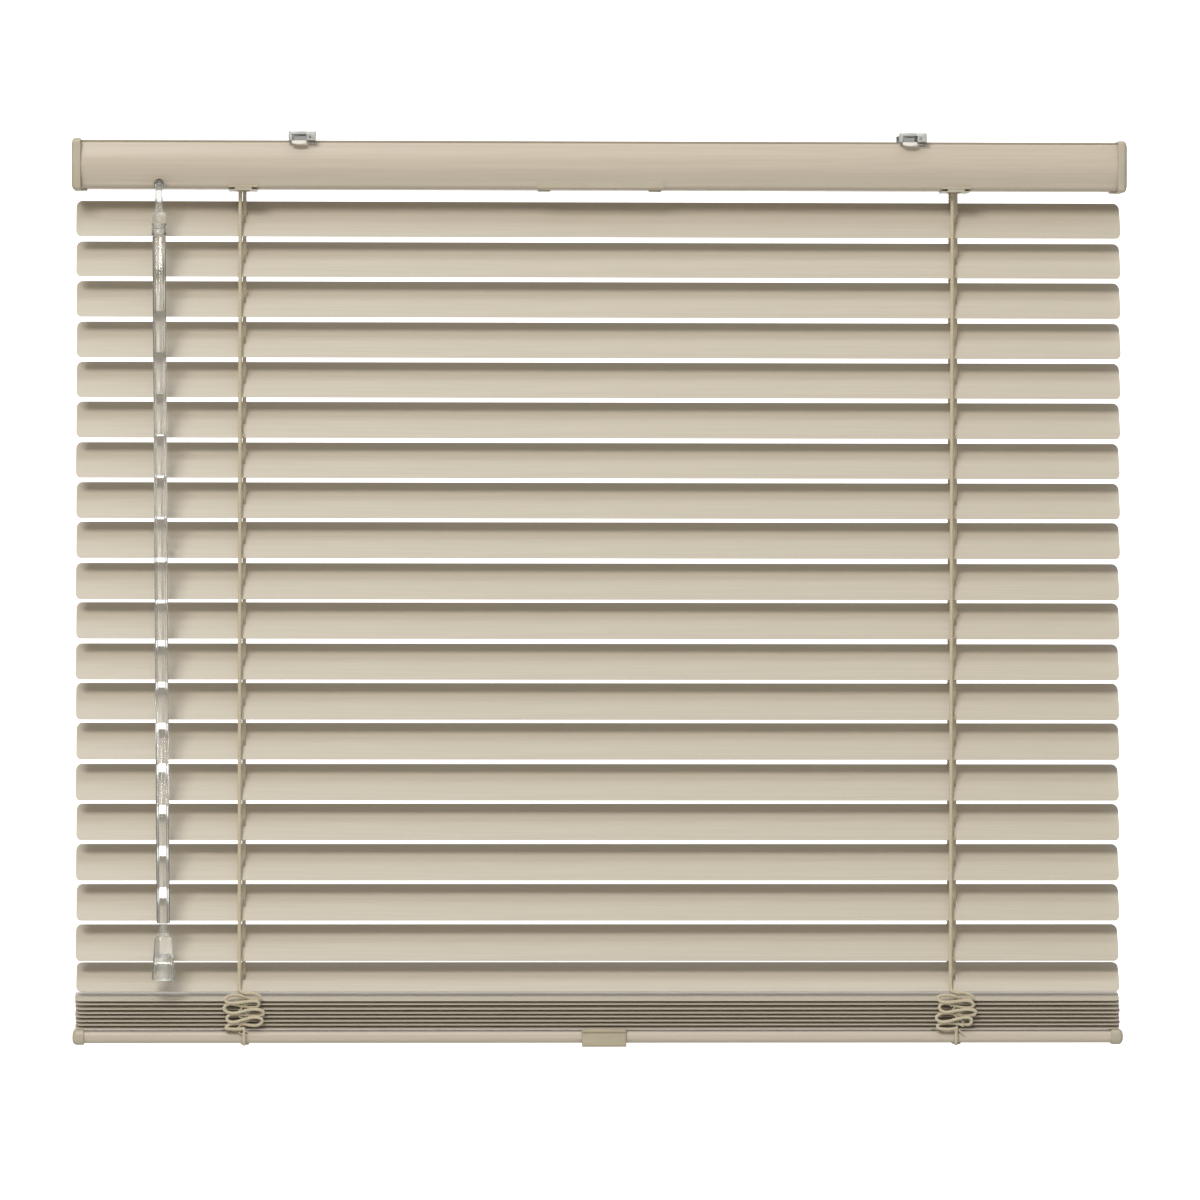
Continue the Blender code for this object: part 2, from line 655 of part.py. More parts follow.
def make_wand(mats):
    ball = ball_center()
    half = HOOK_WIDTH / 2
    rings = []
    for i in range(7):
        angle = math.radians(12 + 138 * i / 6)
        rings.append((half * math.sin(angle), half * math.cos(angle)))
    pin_z = -PIN_DROP
    swing = CONNECTOR_RADIUS * 0.55
    shank_low = pin_z + swing + 0.2 * MM
    rings += [(half * 0.62, -half - 0.4 * MM), (half * 0.62, shank_low)]
    hook = add_object("wand_hook", mesh_from(lathe(rings, 16)))
    round_off = swing - 0.4 * MM
    high = shank_low + 0.5 * MM
    tongue = [(round_off, high)] + arc((0, pin_z), round_off, 0, -180, 6) + [(-round_off, high)]
    thick = TONGUE_THICK / 2
    join(hook, loft([[(a, y, b) for a, b in tongue] for y in (-thick, thick)]))
    turned = Matrix.Translation((0, 0, pin_z)) @ Matrix.Rotation(math.radians(90), 4, "X")
    cut(hook, prism_z(circle(PIN_RADIUS + FIT_GAP, 10), -CONNECTOR_RADIUS, CONNECTOR_RADIUS), turned)
    hollow = BALL_RADIUS + FIT_GAP
    ball_rings = [(hollow * math.sin(a), hollow * math.cos(a))
                  for a in (math.radians(8 + 164 * i / 8) for i in range(9))]
    cut(hook, lathe(ball_rings, 14))
    slot = STEM_RADIUS + FIT_GAP
    cut(hook, box((-slot, slot), (0.0, half + 1 * MM), (-hollow * 0.9, half + 1 * MM)))
    hook.location = ball
    finish(hook, mats["clear"])

    pin = add_object("wand_pin", None, location=ball + Vector((0, 0, pin_z)), rotation=(0, -WAND_LEAN, 0))
    cheek = swing
    shoulder = -cheek - 0.3 * MM
    end = shoulder - CONNECTOR_LENGTH + cheek
    big = CONNECTOR_RADIUS
    groove = end + CONNECTOR_GROOVE_Z
    inner = CONNECTOR_GROOVE_HALF
    outer = inner + CONNECTOR_GROOVE_EDGE
    profile = [(big * 0.72, shoulder), (big * 0.93, shoulder - 0.8 * MM), (big, shoulder - 2.2 * MM),
               (big, groove + outer), (big * 0.9, groove + inner), (big * 0.9, groove - inner),
               (big, groove - outer), (big, end)]
    connector = add_object("wand_connector", mesh_from(lathe(profile, 20)))
    near = thick + FIT_GAP
    root = shoulder - 1 * MM
    plate = [(cheek, root)] + arc((0, 0), cheek, 0, 180, 8) + [(-cheek, root)]
    for side in (-1, 1):
        join(connector, loft([[(a, side * y, b) for a, b in plate] for y in (near, near + CHEEK_THICK)]))
    join(connector, prism_z(circle(PIN_RADIUS, 10), -near - CHEEK_THICK / 2, near + CHEEK_THICK / 2),
         Matrix.Rotation(math.radians(90), 4, "X"))
    connector.parent = pin
    finish(connector, mats["clear"])

    top = end - FIT_GAP
    wand = add_object("wand", mesh_from(prism_z(circle(WAND_RADIUS, 6, math.radians(30)),
                                                top - WAND_LENGTH, top), smooth=False), parent=pin)
    finish(wand, mats["clear"])
    high = top - WAND_LENGTH - FIT_GAP
    low = high - GRIP_LENGTH
    neck = high - GRIP_NECK_LENGTH
    wide = GRIP_BOTTOM_RADIUS
    grip_profile = [(GRIP_NECK_RADIUS, high), (GRIP_NECK_RADIUS, neck),
                    (GRIP_TOP_RADIUS, neck - GRIP_SHOULDER), (wide * 0.86, low + 5 * GRIP_EDGE),
                    (wide, low + GRIP_EDGE), (wide * 0.9, low)]
    grip = add_object("wand_grip", mesh_from(lathe(grip_profile, 12), smooth=False), parent=pin)
    finish(grip, mats["clear"])


# ---------------------------------------------------------------- spring lift

def make_motor_tray(mats):
    half = MOTOR_LENGTH / 2
    deep = INSIDE_HALF - RUN_GAP
    top = SEAT_Z + MOTOR_HEIGHT
    tray = add_object("motor_tray", mesh_from(box((-half, half), (-deep, deep), (SEAT_Z, top))))
    cut(tray, box((-half + MOTOR_WALL, half - MOTOR_WALL), (-deep + MOTOR_WALL, deep - MOTOR_WALL),
                  (SEAT_Z + MOTOR_WALL, top + 1 * MM)))
    slot = 2 * CORD_RADIUS + RUN_GAP
    for side in (-1, 1):
        y = side * (SPOOL_HUB_RADIUS + CORD_RADIUS + FIT_GAP)
        low, high = sorted((side * (half - 2 * MOTOR_WALL), side * (half + 1 * MM)))
        cut(tray, box((low, high), (y - slot, y + slot), (CORD_RUN_Z - slot, top + 1 * MM)))
        foot = side * MOTOR_FOOT_X
        wide = MOTOR_FOOT_WIDTH / 2
        join(tray, box((foot - wide, foot + wide), (-wide, wide),
                       (RAIL_BOTTOM_Z - MOTOR_FOOT_DROP, SEAT_Z + MOTOR_WALL / 2)))
        post = [(side * MOTOR_SPACING / 2 + a, b) for a, b in circle(POST_RADIUS, 12)]
        join(tray, prism_z(post, SEAT_Z + MOTOR_WALL / 2, top))
    finish(tray, mats["white"])


def make_spool_and_spring(mats):
    floor = SEAT_Z + MOTOR_WALL + FIT_GAP
    gear_low = floor + SPOOL_HEIGHT
    gear = gear_outline(GEAR_TEETH, MOTOR_SPACING / 2 - FIT_GAP / 2, GEAR_TOOTH)
    bore = POST_RADIUS + FIT_GAP
    flange = SPOOL_FLANGE
    spool = add_object("lift_spool", mesh_from(prism_z(gear, gear_low, gear_low + GEAR_THICK)))
    join(spool, lathe([(SPOOL_FLANGE_RADIUS, floor), (SPOOL_FLANGE_RADIUS, floor + flange),
                       (SPOOL_HUB_RADIUS, floor + flange + 0.2 * MM),
                       (SPOOL_HUB_RADIUS, gear_low + GEAR_THICK / 2)], 24))
    cut(spool, prism_z(circle(bore, 12), floor - 1 * MM, gear_low + 2 * GEAR_THICK))
    spool.location = (-MOTOR_SPACING / 2, 0, 0)
    finish(spool, mats["white"])
    drum = add_object("spring_drum", mesh_from(prism_z(gear, gear_low, gear_low + GEAR_THICK)))
    join(drum, prism_z(circle(SPRING_RADIUS, 24), gear_low + GEAR_THICK / 2,
                       gear_low + GEAR_THICK + SPRING_HEIGHT))
    cut(drum, prism_z(circle(bore, 12), gear_low - 1 * MM, gear_low + GEAR_THICK + SPRING_HEIGHT + 1 * MM))
    drum.location = (MOTOR_SPACING / 2, 0, 0)
    finish(drum, mats["spring"])


# ---------------------------------------------------------------- slats

def crown_height(y):
    """How far the curved slat lies below its middle line, at y across it."""
    return -SLAT_CROWN * (2 * y / SLAT_WIDTH) ** 2


def slat_mesh():
    """One slat about its own tilt axis: rounded corners, curved across, a slot for each lift cord."""
    bm = bmesh.new()
    half_x, half_y = SLAT_LENGTH / 2, SLAT_WIDTH / 2
    loops = [rounded_box(-half_x, half_x, -half_y, half_y, SLAT_CORNER, 3)]
    for side in (-1, 1):
        x = cord_x(side)
        wide, long = ROUTE_SLOT_WIDTH / 2, ROUTE_SLOT_LENGTH / 2
        loops.append(rounded_box(x - wide, x + wide, -long, long, wide / 2, 1))
    edges = []
    for loop in loops:
        verts = [bm.verts.new((x, y, 0)) for x, y in loop]
        edges += [bm.edges.new((verts[i], verts[(i + 1) % len(verts)])) for i in range(len(verts))]
    bmesh.ops.triangle_fill(bm, edges=edges, use_beauty=True)
    for i in range(1, SLAT_STRIPS):
        y = -half_y + SLAT_WIDTH * i / SLAT_STRIPS
        bmesh.ops.bisect_plane(bm, geom=bm.verts[:] + bm.edges[:] + bm.faces[:], dist=1e-7,
                               plane_co=(0, y, 0), plane_no=(0, 1, 0))
    top = bmesh.ops.extrude_face_region(bm, geom=bm.faces[:])["geom"]
    for vert in [item for item in top if isinstance(item, bmesh.types.BMVert)]:
        vert.co.z += SLAT_THICK
    for vert in bm.verts:
        vert.co.z += crown_height(vert.co.y) - SLAT_THICK / 2
    bmesh.ops.recalc_face_normals(bm, faces=bm.faces)
    bmesh.ops.dissolve_limit(bm, angle_limit=math.radians(1), verts=bm.verts, edges=bm.edges)
    bmesh.ops.triangulate(bm, faces=bm.faces)
    return mesh_from(bm)


def make_slats(mats):
    mesh = slat_mesh()
    mesh.materials.append(mats["paint"])
    for i in range(SPREAD_COUNT):
        add_object(f"slat_{i + 1:02d}", mesh, location=(0, 0, FIRST_SLAT_Z - i * SLAT_PITCH),
                   rotation=(REST_TILT, 0, 0))
    add_object(f"slat_{SPREAD_COUNT + 1:02d}", mesh, location=(0, 0, RESTING_SLAT_Z),
               rotation=(RESTING_TILT, 0, 0))
    for i in range(STACK_COUNT):
        add_object(f"stacked_slat_{i + 1:02d}", mesh, location=(0, 0, STACK_TOP_Z - i * STACK_PITCH))


# ---------------------------------------------------------------- bottom rail

def make_bottom_rail(mats):
    carriage = add_object("lift_carriage", None, location=(0, 0, BOTTOM_MIDDLE_Z))
    deep, high = BOTTOM_DEPTH / 2, BOTTOM_HEIGHT / 2
    half = BOTTOM_LENGTH / 2
    rail = add_object("bottom_rail", mesh_from(prism_x(rounded_box(-deep, deep, -high, high, BOTTOM_CORNER),
                                                       -half, half)))
    inner = rounded_box(-deep + BOTTOM_WALL, deep - BOTTOM_WALL, -high + BOTTOM_WALL, high - BOTTOM_WALL,
                        BOTTOM_CORNER - BOTTOM_WALL)
    cut(rail, prism_x(inner, -half - 1 * MM, half + 1 * MM))
    for side in (-1, 1):
        x = cord_x(side)
        hole = [(x + a, b) for a, b in circle(CORD_HOLE_RADIUS, 12)]
        cut(rail, prism_z(hole, -2 * high, 2 * high))
    rail.parent = carriage
    finish(rail, mats["paint"])
    for name, side in (("bottom_cap_left", -1), ("bottom_cap_right", 1)):
        start = half + FIT_GAP - BOTTOM_CAP_SLEEVE
        dims = (start, BOTTOM_CAP_SLEEVE + BOTTOM_CAP_WALL, deep + BOTTOM_CAP_PROUD,
                -high - BOTTOM_CAP_PROUD, high + BOTTOM_CAP_PROUD, BOTTOM_CAP_WALL)
        recess = rounded_box(-deep - FIT_GAP, deep + FIT_GAP, -high - FIT_GAP, high + FIT_GAP,
                             BOTTOM_CORNER + FIT_GAP)
        cap = make_end_cap(name, side, dims, recess, mats["cream"])
        cap.parent = carriage
    make_handle(mats, carriage)


def make_handle(mats, carriage):
    """A clip round the bottom rail's front edge, with a finger lip below."""
    front, top = BOTTOM_DEPTH / 2 + FIT_GAP, BOTTOM_HEIGHT / 2 + FIT_GAP
    out = front + HANDLE_WALL
    hold = BOTTOM_DEPTH / 2 - HANDLE_HOLD
    low = -top - HANDLE_WALL
    tip = out + HANDLE_GRIP_REACH
    under = low - HANDLE_GRIP_DROP
    outline = [(-hold, top), (-hold, top + HANDLE_LIP), (-out + HANDLE_TOP_STEP, top + HANDLE_LIP),
               (-out, top), (-out, low + HANDLE_GRIP_ROOT), (-tip, low + HANDLE_GRIP_RISE),
               (-tip, under), (-tip + HANDLE_GRIP_THICK, under), (-out, low), (-hold, low),
               (-hold, -top), (-front, -top), (-front, top)]
    half = HANDLE_WIDTH / 2
    handle = add_object("bottom_handle", mesh_from(prism_x(outline, HANDLE_X - half, HANDLE_X + half)),
                        parent=carriage)
    finish(handle, mats["cream"])


# ---------------------------------------------------------------- ladders and lift cords

def turned_point(y, z, tilt):
    """A slat's own point after it tilts, front edge down for a positive tilt."""
    return (y * math.cos(tilt) - z * math.sin(tilt), y * math.sin(tilt) + z * math.cos(tilt))


def ladder_pivot(side):
    """Where the front (-1) or back (1) ladder string passes the first slat's edge."""
    y, z = turned_point(side * LADDER_REACH, -SLAT_CROWN, REST_TILT)
    return y, FIRST_SLAT_Z + z


def string_top(side):
    """As high as a string may start, so that it stays inside the headrail when it is drawn up."""
    rest = ladder_pivot(side)[1]
    highest = max(turned_point(side * LADDER_REACH, -SLAT_CROWN, tilt)[1]
                  for tilt in (-CLOSED_TILT, CLOSED_TILT)) + FIRST_SLAT_Z
    return RAIL_TOP_Z - 0.5 * MM - (highest - rest)


def string_bottom(side):
    """Where a string ends and its gathered tail begins."""
    y, z = turned_point(side * SLAT_WIDTH / 2, -SLAT_CROWN, RESTING_TILT)
    return RESTING_SLAT_Z + (0.0 if side < 0 else z + LADDER_BACK_OVERLAP)


def tail_points(x):
    """The ladder's lower end: down in front of the stack, under the bottom rail and up behind."""
    front_y, back_y = ladder_pivot(-1)[0], ladder_pivot(1)[0]
    edge_front = turned_point(-SLAT_WIDTH / 2, -SLAT_CROWN, RESTING_TILT)
    edge_back = turned_point(SLAT_WIDTH / 2, -SLAT_CROWN, RESTING_TILT)
    clear = LADDER_RADIUS + RUN_GAP
    stack_y = max(SLAT_WIDTH, BOTTOM_DEPTH) / 2 + clear
    under = BOTTOM_LOW_Z - clear
    low_corner = TAIL_CORNER
    route = [
        (front_y, string_bottom(-1) - FIT_GAP),
        (front_y - 0.3 * MM, string_bottom(-1) - 4 * MM),
        (edge_front[0] - clear, RESTING_SLAT_Z + edge_front[1] + 1 * MM),
        (edge_front[0] - 2 * clear, RESTING_SLAT_Z + edge_front[1] - 1 * MM),
        (-stack_y, STACK_TOP_Z - SLAT_CROWN + 1.2 * MM),
        (-stack_y, STACK_LOW_Z - SLAT_CROWN),
        (-stack_y, BOTTOM_LOW_Z + low_corner / 2),
        (-stack_y + low_corner / 2, under + 0.3 * MM),
        (-stack_y + 2 * low_corner, under),
        (stack_y - 2 * low_corner, under),
        (stack_y - low_corner / 2, under + 0.3 * MM),
        (stack_y, BOTTOM_LOW_Z + low_corner / 2),
        (stack_y, STACK_LOW_Z - SLAT_CROWN),
        (stack_y, STACK_TOP_Z - SLAT_CROWN),
        (edge_back[0] + clear + 0.5 * MM, RESTING_SLAT_Z + edge_back[1] - 4 * MM),
        (edge_back[0] + clear, RESTING_SLAT_Z + edge_back[1] + 1 * MM),
        (back_y + 0.6 * MM, string_bottom(1) - 2 * MM),
        (back_y, string_bottom(1) - FIT_GAP),
    ]
    return [(x, y, z) for y, z in route]


def lift_cord_points(side):
    """Up through the slats, round the cradle's bend and along the headrail to the spool."""
    x = cord_x(side)
    inward = -side
    points = [(x, 0, BOTTOM_TOP_Z - CORD_LOW_DROP), (x, 0, CORD_RUN_Z - CORD_BEND)]
    for angle in (30, 60, 90):
        a = math.radians(angle)
        points.append((x + inward * CORD_BEND * (1 - math.cos(a)), 0,
                       CORD_RUN_Z - CORD_BEND * (1 - math.sin(a))))
    spool_y = side * (SPOOL_HUB_RADIUS + CORD_RADIUS + FIT_GAP)
    points.append((x + inward * 8 * MM, 0, CORD_RUN_Z))
    points.append((side * MOTOR_LENGTH / 2, spool_y, CORD_RUN_Z))
    points.append((-MOTOR_SPACING / 2, spool_y, CORD_RUN_Z))
    return points


def make_cords(mats):
    for suffix, side in (("left", -1), ("right", 1)):
        x = string_x(side)
        for name, edge in (("ladder_front", -1), ("ladder_back", 1)):
            y, z = ladder_pivot(edge)
            points = [(x, y, string_top(edge)), (x, y, z), (x, y, string_bottom(edge))]
            add_cord(f"{name}_{suffix}", points, LADDER_RADIUS, mats["cord"], origin=(x, y, z))
        add_cord(f"ladder_tail_{suffix}", tail_points(x), LADDER_RADIUS, mats["cord"],
                 origin=(x, 0, BOTTOM_MIDDLE_Z))
        add_cord(f"lift_cord_{suffix}", lift_cord_points(side), CORD_RADIUS, mats["cord"])


# ---------------------------------------------------------------- the whole blind

def main():
    clear_scene()
    mats = make_materials()
    make_headrail(mats)
    make_headrail_caps(mats)
    make_brackets(mats)
    make_cradles(mats)
    make_rod_and_drums(mats)
    make_worm_wheel(mats)
    make_worm(mats)
    make_tilter_housing(mats)
    make_wand(mats)
    make_motor_tray(mats)
    make_spool_and_spring(mats)
    make_slats(mats)
    make_bottom_rail(mats)
    make_cords(mats)


main()
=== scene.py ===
"""Looks for a venetian blind: enamelled curved slats on twisted ladders, clear plastic fittings."""

import json
import math
import random

import bmesh
import bpy
from mathutils import Matrix, Vector


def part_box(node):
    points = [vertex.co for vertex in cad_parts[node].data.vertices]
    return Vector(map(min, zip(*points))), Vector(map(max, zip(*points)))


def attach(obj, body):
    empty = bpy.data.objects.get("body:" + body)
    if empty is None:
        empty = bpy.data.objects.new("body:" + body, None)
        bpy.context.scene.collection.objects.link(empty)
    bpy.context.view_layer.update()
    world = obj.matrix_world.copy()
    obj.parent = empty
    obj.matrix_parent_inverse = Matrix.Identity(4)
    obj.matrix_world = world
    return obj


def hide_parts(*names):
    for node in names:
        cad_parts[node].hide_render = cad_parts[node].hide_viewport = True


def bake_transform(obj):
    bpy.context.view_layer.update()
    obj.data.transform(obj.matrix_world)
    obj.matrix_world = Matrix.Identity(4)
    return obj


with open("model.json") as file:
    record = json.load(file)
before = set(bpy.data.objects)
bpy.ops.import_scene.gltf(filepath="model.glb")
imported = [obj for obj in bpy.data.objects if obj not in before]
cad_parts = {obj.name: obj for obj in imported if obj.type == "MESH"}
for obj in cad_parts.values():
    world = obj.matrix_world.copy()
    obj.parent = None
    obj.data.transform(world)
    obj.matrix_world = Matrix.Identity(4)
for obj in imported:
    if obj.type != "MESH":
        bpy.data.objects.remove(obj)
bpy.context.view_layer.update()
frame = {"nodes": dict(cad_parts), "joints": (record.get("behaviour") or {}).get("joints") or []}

MM = 0.001
TURN = 2 * math.pi
NODES = frame["nodes"]
JOINT_AT = {j["name"]: Vector(j["pos_m"]) for j in frame["joints"] if "pos_m" in j}
random.seed(7)

# Slats
SLAT_WIDTH = 25 * MM
SLAT_THICK = 0.3 * MM
SLAT_CROWN = 2.0 * MM
SLAT_BACK_CORNER = (3.2 * MM, 5.4 * MM)  # along the slat, across it
SLAT_FRONT_CORNER = (2.6 * MM, 3.4 * MM)
SLAT_STRIPS = 14
SLOT_FRONT = 4.4 * MM
SLOT_BACK = 5.5 * MM
SLOT_WIDTH = 1.6 * MM
STACK_PROP = (1.0, 0.9, 0.8, 0.7, 0.6, 0.5, 0.4, 0.3)  # how far each is raised onto its front edge
REST_TILT = math.radians(54)
RESTING_TILT = math.radians(38)
SPREAD_COUNT = 20
STACK_COUNT = 8
STACK_TILTS = [math.radians(a) for a in (8.0, 7.0, 6.5, 6.0, 5.5, 5.5, 5.0, 5.0)]  # leaning forward
# Half a stacked slat's rung: across the slat, along it, and down
STACK_RUNG = [(a * MM, b * MM, c * MM) for a, b, c in (
    (7, 0, 0), (11, 0.2, 0), (12.9, 0.6, 0.5), (14.2, 1.2, 2.4), (14.4, 3.0, 4.0))]
SLAT_SHIFT = 0.3 * MM  # the most a slat sits off its even place
SLAT_TWIST = math.radians(0.8)
SIDES = (("left", -1), ("right", 1))

# Headrail
RAIL_WALL = 0.6 * MM
RAIL_BULGE = 2.3 * MM
RAIL_CORNER = 3.4 * MM
RAIL_LIP = 3.2 * MM
RAIL_HEM = 0.9 * MM  # the rolled edge of each top lip
CAP_SLEEVE = 4.1 * MM
CRADLE_SLOT_HALF = 5.1 * MM
MOTOR_FOOT_X = 31.6 * MM
MOTOR_FOOT_HALF = 3.8 * MM
CAP_FOOT = (3.4 * MM, 12 * MM)  # length inboard, width front to back
CAP_CORNER = 2.4 * MM
CAP_BOW = 0.9 * MM
NOTCH_WIDTH = 7.4 * MM
NOTCH_HEIGHT = 6.4 * MM
NOTCH_RIM = 0.9 * MM

# Bottom rail
BOTTOM_CORNER = 2.9 * MM
BOTTOM_WALL = 0.7 * MM
BOTTOM_CAP_BOW = 0.5 * MM

# Ladders and cords
STRING_RADIUS = 1.2 * MM
RUNG_RADIUS = 0.45 * MM
CORD_RADIUS = 1.25 * MM
CORD_BACK = 0.6 * MM  # lift cords hang just behind the slats' middle
STRING_LEFT = 1.7 * MM  # strings left, lift cord right of each ladder's middle
CORD_RIGHT = 0.8 * MM
LOOP_HALF_WIDTH = 10.2 * MM
LOOP_TIERS = 4

BRAIDED = {"sides": 12, "depth": 0.16, "braid": True}
SPOOL_WINDING_RADIUS = 7.3 * MM
DRUM_WINDING_RADIUS = 6.15 * MM

# Brackets
SCREW_RADIUS = 2.1 * MM

# Spring
STRIP_HALF = 0.13 * MM

# Wand
WAND_LEAN = math.radians(0.4)


# ---------------------------------------------------------------- mesh helpers

def mesh_from(bm):
    bmesh.ops.recalc_face_normals(bm, faces=bm.faces)
    mesh = bpy.data.meshes.new("shape")
    bm.to_mesh(mesh)
    bm.free()
    return mesh


def bmesh_of(mesh):
    bm = bmesh.new()
    bm.from_mesh(mesh)
    return bm


def loft(rings):
    """Join rings of 3D points in turn and cap both ends."""
    bm = bmesh.new()
    loops = [[bm.verts.new(point) for point in ring] for ring in rings]
    for first, second in zip(loops, loops[1:]):
        for i in range(len(first)):
            j = (i + 1) % len(first)
            bm.faces.new((first[i], first[j], second[j], second[i]))
    bm.faces.new(loops[0])
    bm.faces.new(loops[-1])
    return bm


def prism_x(outline, x0, x1):
    return loft([[(x, y, z) for y, z in outline] for x in (x0, x1)])


def long_prism(outline, x0, x1, pieces=12):
    """A prism with rings along it, so that its faces stay short."""
    xs = [x0 + (x1 - x0) * i / pieces for i in range(pieces + 1)]
    return loft([[(x, y, z) for y, z in outline] for x in xs])


def prism_z(outline, z0, z1):
    return loft([[(x, y, z) for x, y in outline] for z in (z0, z1)])


def prism_y(outline, y0, y1):
    """Run an outline of (x, z) points along Y."""
    return loft([[(x, y, z) for x, z in outline] for y in (y0, y1)])


def box(x, y, z):
    return prism_x([(y[0], z[0]), (y[1], z[0]), (y[1], z[1]), (y[0], z[1])], x[0], x[1])


def polar(radius, angle):
    return (radius * math.cos(angle), radius * math.sin(angle))


def circle(radius, sides, turn=0.0):
    return [polar(radius, turn + i * (TURN / sides)) for i in range(sides)]


def lathe(profile, sides=48):
    """Turn a profile of (radius, z) points, listed from one end to the other, about Z."""
    return loft([[(x, y, z) for x, y in circle(radius, sides)] for radius, z in profile])


def arc(center, radius, start, end, steps=6):
    angles = [math.radians(start + (end - start) * i / steps) for i in range(steps + 1)]
    return [(center[0] + a, center[1] + b) for a, b in (polar(radius, angle) for angle in angles)]


def rounded_box(left, right, low, high, radius, steps=6):
    return (
        arc((right - radius, high - radius), radius, 90, 0, steps)
        + arc((right - radius, low + radius), radius, 0, -90, steps)
        + arc((left + radius, low + radius), radius, 270, 180, steps)
        + arc((left + radius, high - radius), radius, 180, 90, steps)
    )


def new_object(name, mesh, matrix=None):
    obj = bpy.data.objects.new(name, mesh)
    bpy.context.scene.collection.objects.link(obj)
    if matrix is not None:
        obj.matrix_world = matrix
    return obj


def shape(name, bm, matrix=None):
    return new_object(name, mesh_from(bm), matrix)


def applied(obj):
    """Bake an object's modifiers into its mesh."""
    bpy.context.view_layer.update()
    evaluated = obj.evaluated_get(bpy.context.evaluated_depsgraph_get())
    mesh = bpy.data.meshes.new_from_object(evaluated)
    obj.modifiers.clear()
    obj.data = mesh
    return obj


def combine(obj, bm, operation, matrix=None):
    tool = new_object("tool", mesh_from(bm), matrix)
    modifier = obj.modifiers.new("combine", "BOOLEAN")
    modifier.operation = operation
    modifier.solver = "EXACT"
    modifier.object = tool
    applied(obj)
    bpy.data.objects.remove(tool)


def cut(obj, bm, matrix=None):
    combine(obj, bm, "DIFFERENCE", matrix)


def join(obj, bm, matrix=None):
    combine(obj, bm, "UNION", matrix)


def bevel(obj, width, segments=3, angle=32):
    modifier = obj.modifiers.new("bevel", "BEVEL")
    modifier.width = width
    modifier.segments = segments
    modifier.limit_method = "ANGLE"
    modifier.angle_limit = math.radians(angle)
    modifier.use_clamp_overlap = True
    modifier.harden_normals = False
    return applied(obj)


def dress(obj, material, angle=38):
    """Give a piece its material and its shading."""
    obj.data.materials.clear()
    obj.data.materials.append(material)
    obj.data.shade_smooth()
    obj.data.set_sharp_from_angle(angle=math.radians(angle))
    return obj


def place(obj, material, slot, body, *nodes, angle=38):
    dress(obj, material, angle)
    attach(obj, body)
    if nodes:
        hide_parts(*nodes)
    return obj


# ---------------------------------------------------------------- cords

def smooth_path(points, step):
    """Even points along a smooth curve through the given points."""
    pts = [Vector(p) for p in points]
    pts = [2 * pts[0] - pts[1]] + pts + [2 * pts[-1] - pts[-2]]
    dense = []
    for a, b, c, d in zip(pts, pts[1:], pts[2:], pts[3:]):
        pieces = max(2, int((c - b).length / step * 2))
        for i in range(pieces):
            t = i / pieces
            dense.append(0.5 * ((2 * b) + (c - a) * t + (2 * a - 5 * b + 4 * c - d) * t * t
                                + (3 * b - a - 3 * c + d) * t ** 3))
    dense.append(pts[-2])
    even = [dense[0]]
    left = step
    for a, b in zip(dense, dense[1:]):
        span = (b - a).length
        done = 0.0
        while span - done >= left:
            done += left
            even.append(a.lerp(b, done / span))
            left = step
        left -= span - done
    if (even[-1] - dense[-1]).length > step * 0.3:
        even.append(dense[-1])
    return even


def rope(paths, radius, plies, lay, sides=8, step=0.35 * MM, depth=0.3, braid=False):
    """One mesh of twisted cords, one for each path; lay is the length of one full twist."""
    verts, faces = [], []
    for points in paths:
        path = smooth_path(points, step)
        forward = (path[1] - path[0]).normalized()
        normal = forward.orthogonal().normalized()
        base = len(verts)
        for i, spot in enumerate(path):
            ahead = path[min(i + 1, len(path) - 1)] - path[max(i - 1, 0)]
            ahead.normalize()
            normal = (normal - ahead * normal.dot(ahead)).normalized()
            other = ahead.cross(normal)
            phase = TURN * i * step / lay
            for k in range(sides):
                angle = TURN * k / sides
                if braid:
                    wave = math.cos(plies * (angle - phase)) * math.cos(plies * (angle + phase))
                else:
                    wave = math.cos(plies * (angle - phase))
                reach = radius * (1 - depth * (0.5 - 0.5 * wave))
                verts.append(spot + reach * (math.cos(angle) * normal + math.sin(angle) * other))
        rings = len(path)
        for i in range(rings - 1):
            for k in range(sides):
                n = (k + 1) % sides
                a, b = base + i * sides, base + (i + 1) * sides
                faces.append((a + k, a + n, b + n, b + k))
        faces.append([base + k for k in range(sides)][::-1])
        faces.append([base + (rings - 1) * sides + k for k in range(sides)])
    mesh = bpy.data.meshes.new("cord")
    mesh.from_pydata(verts, [], faces)
    mesh.update()
    return mesh


# ---------------------------------------------------------------- materials

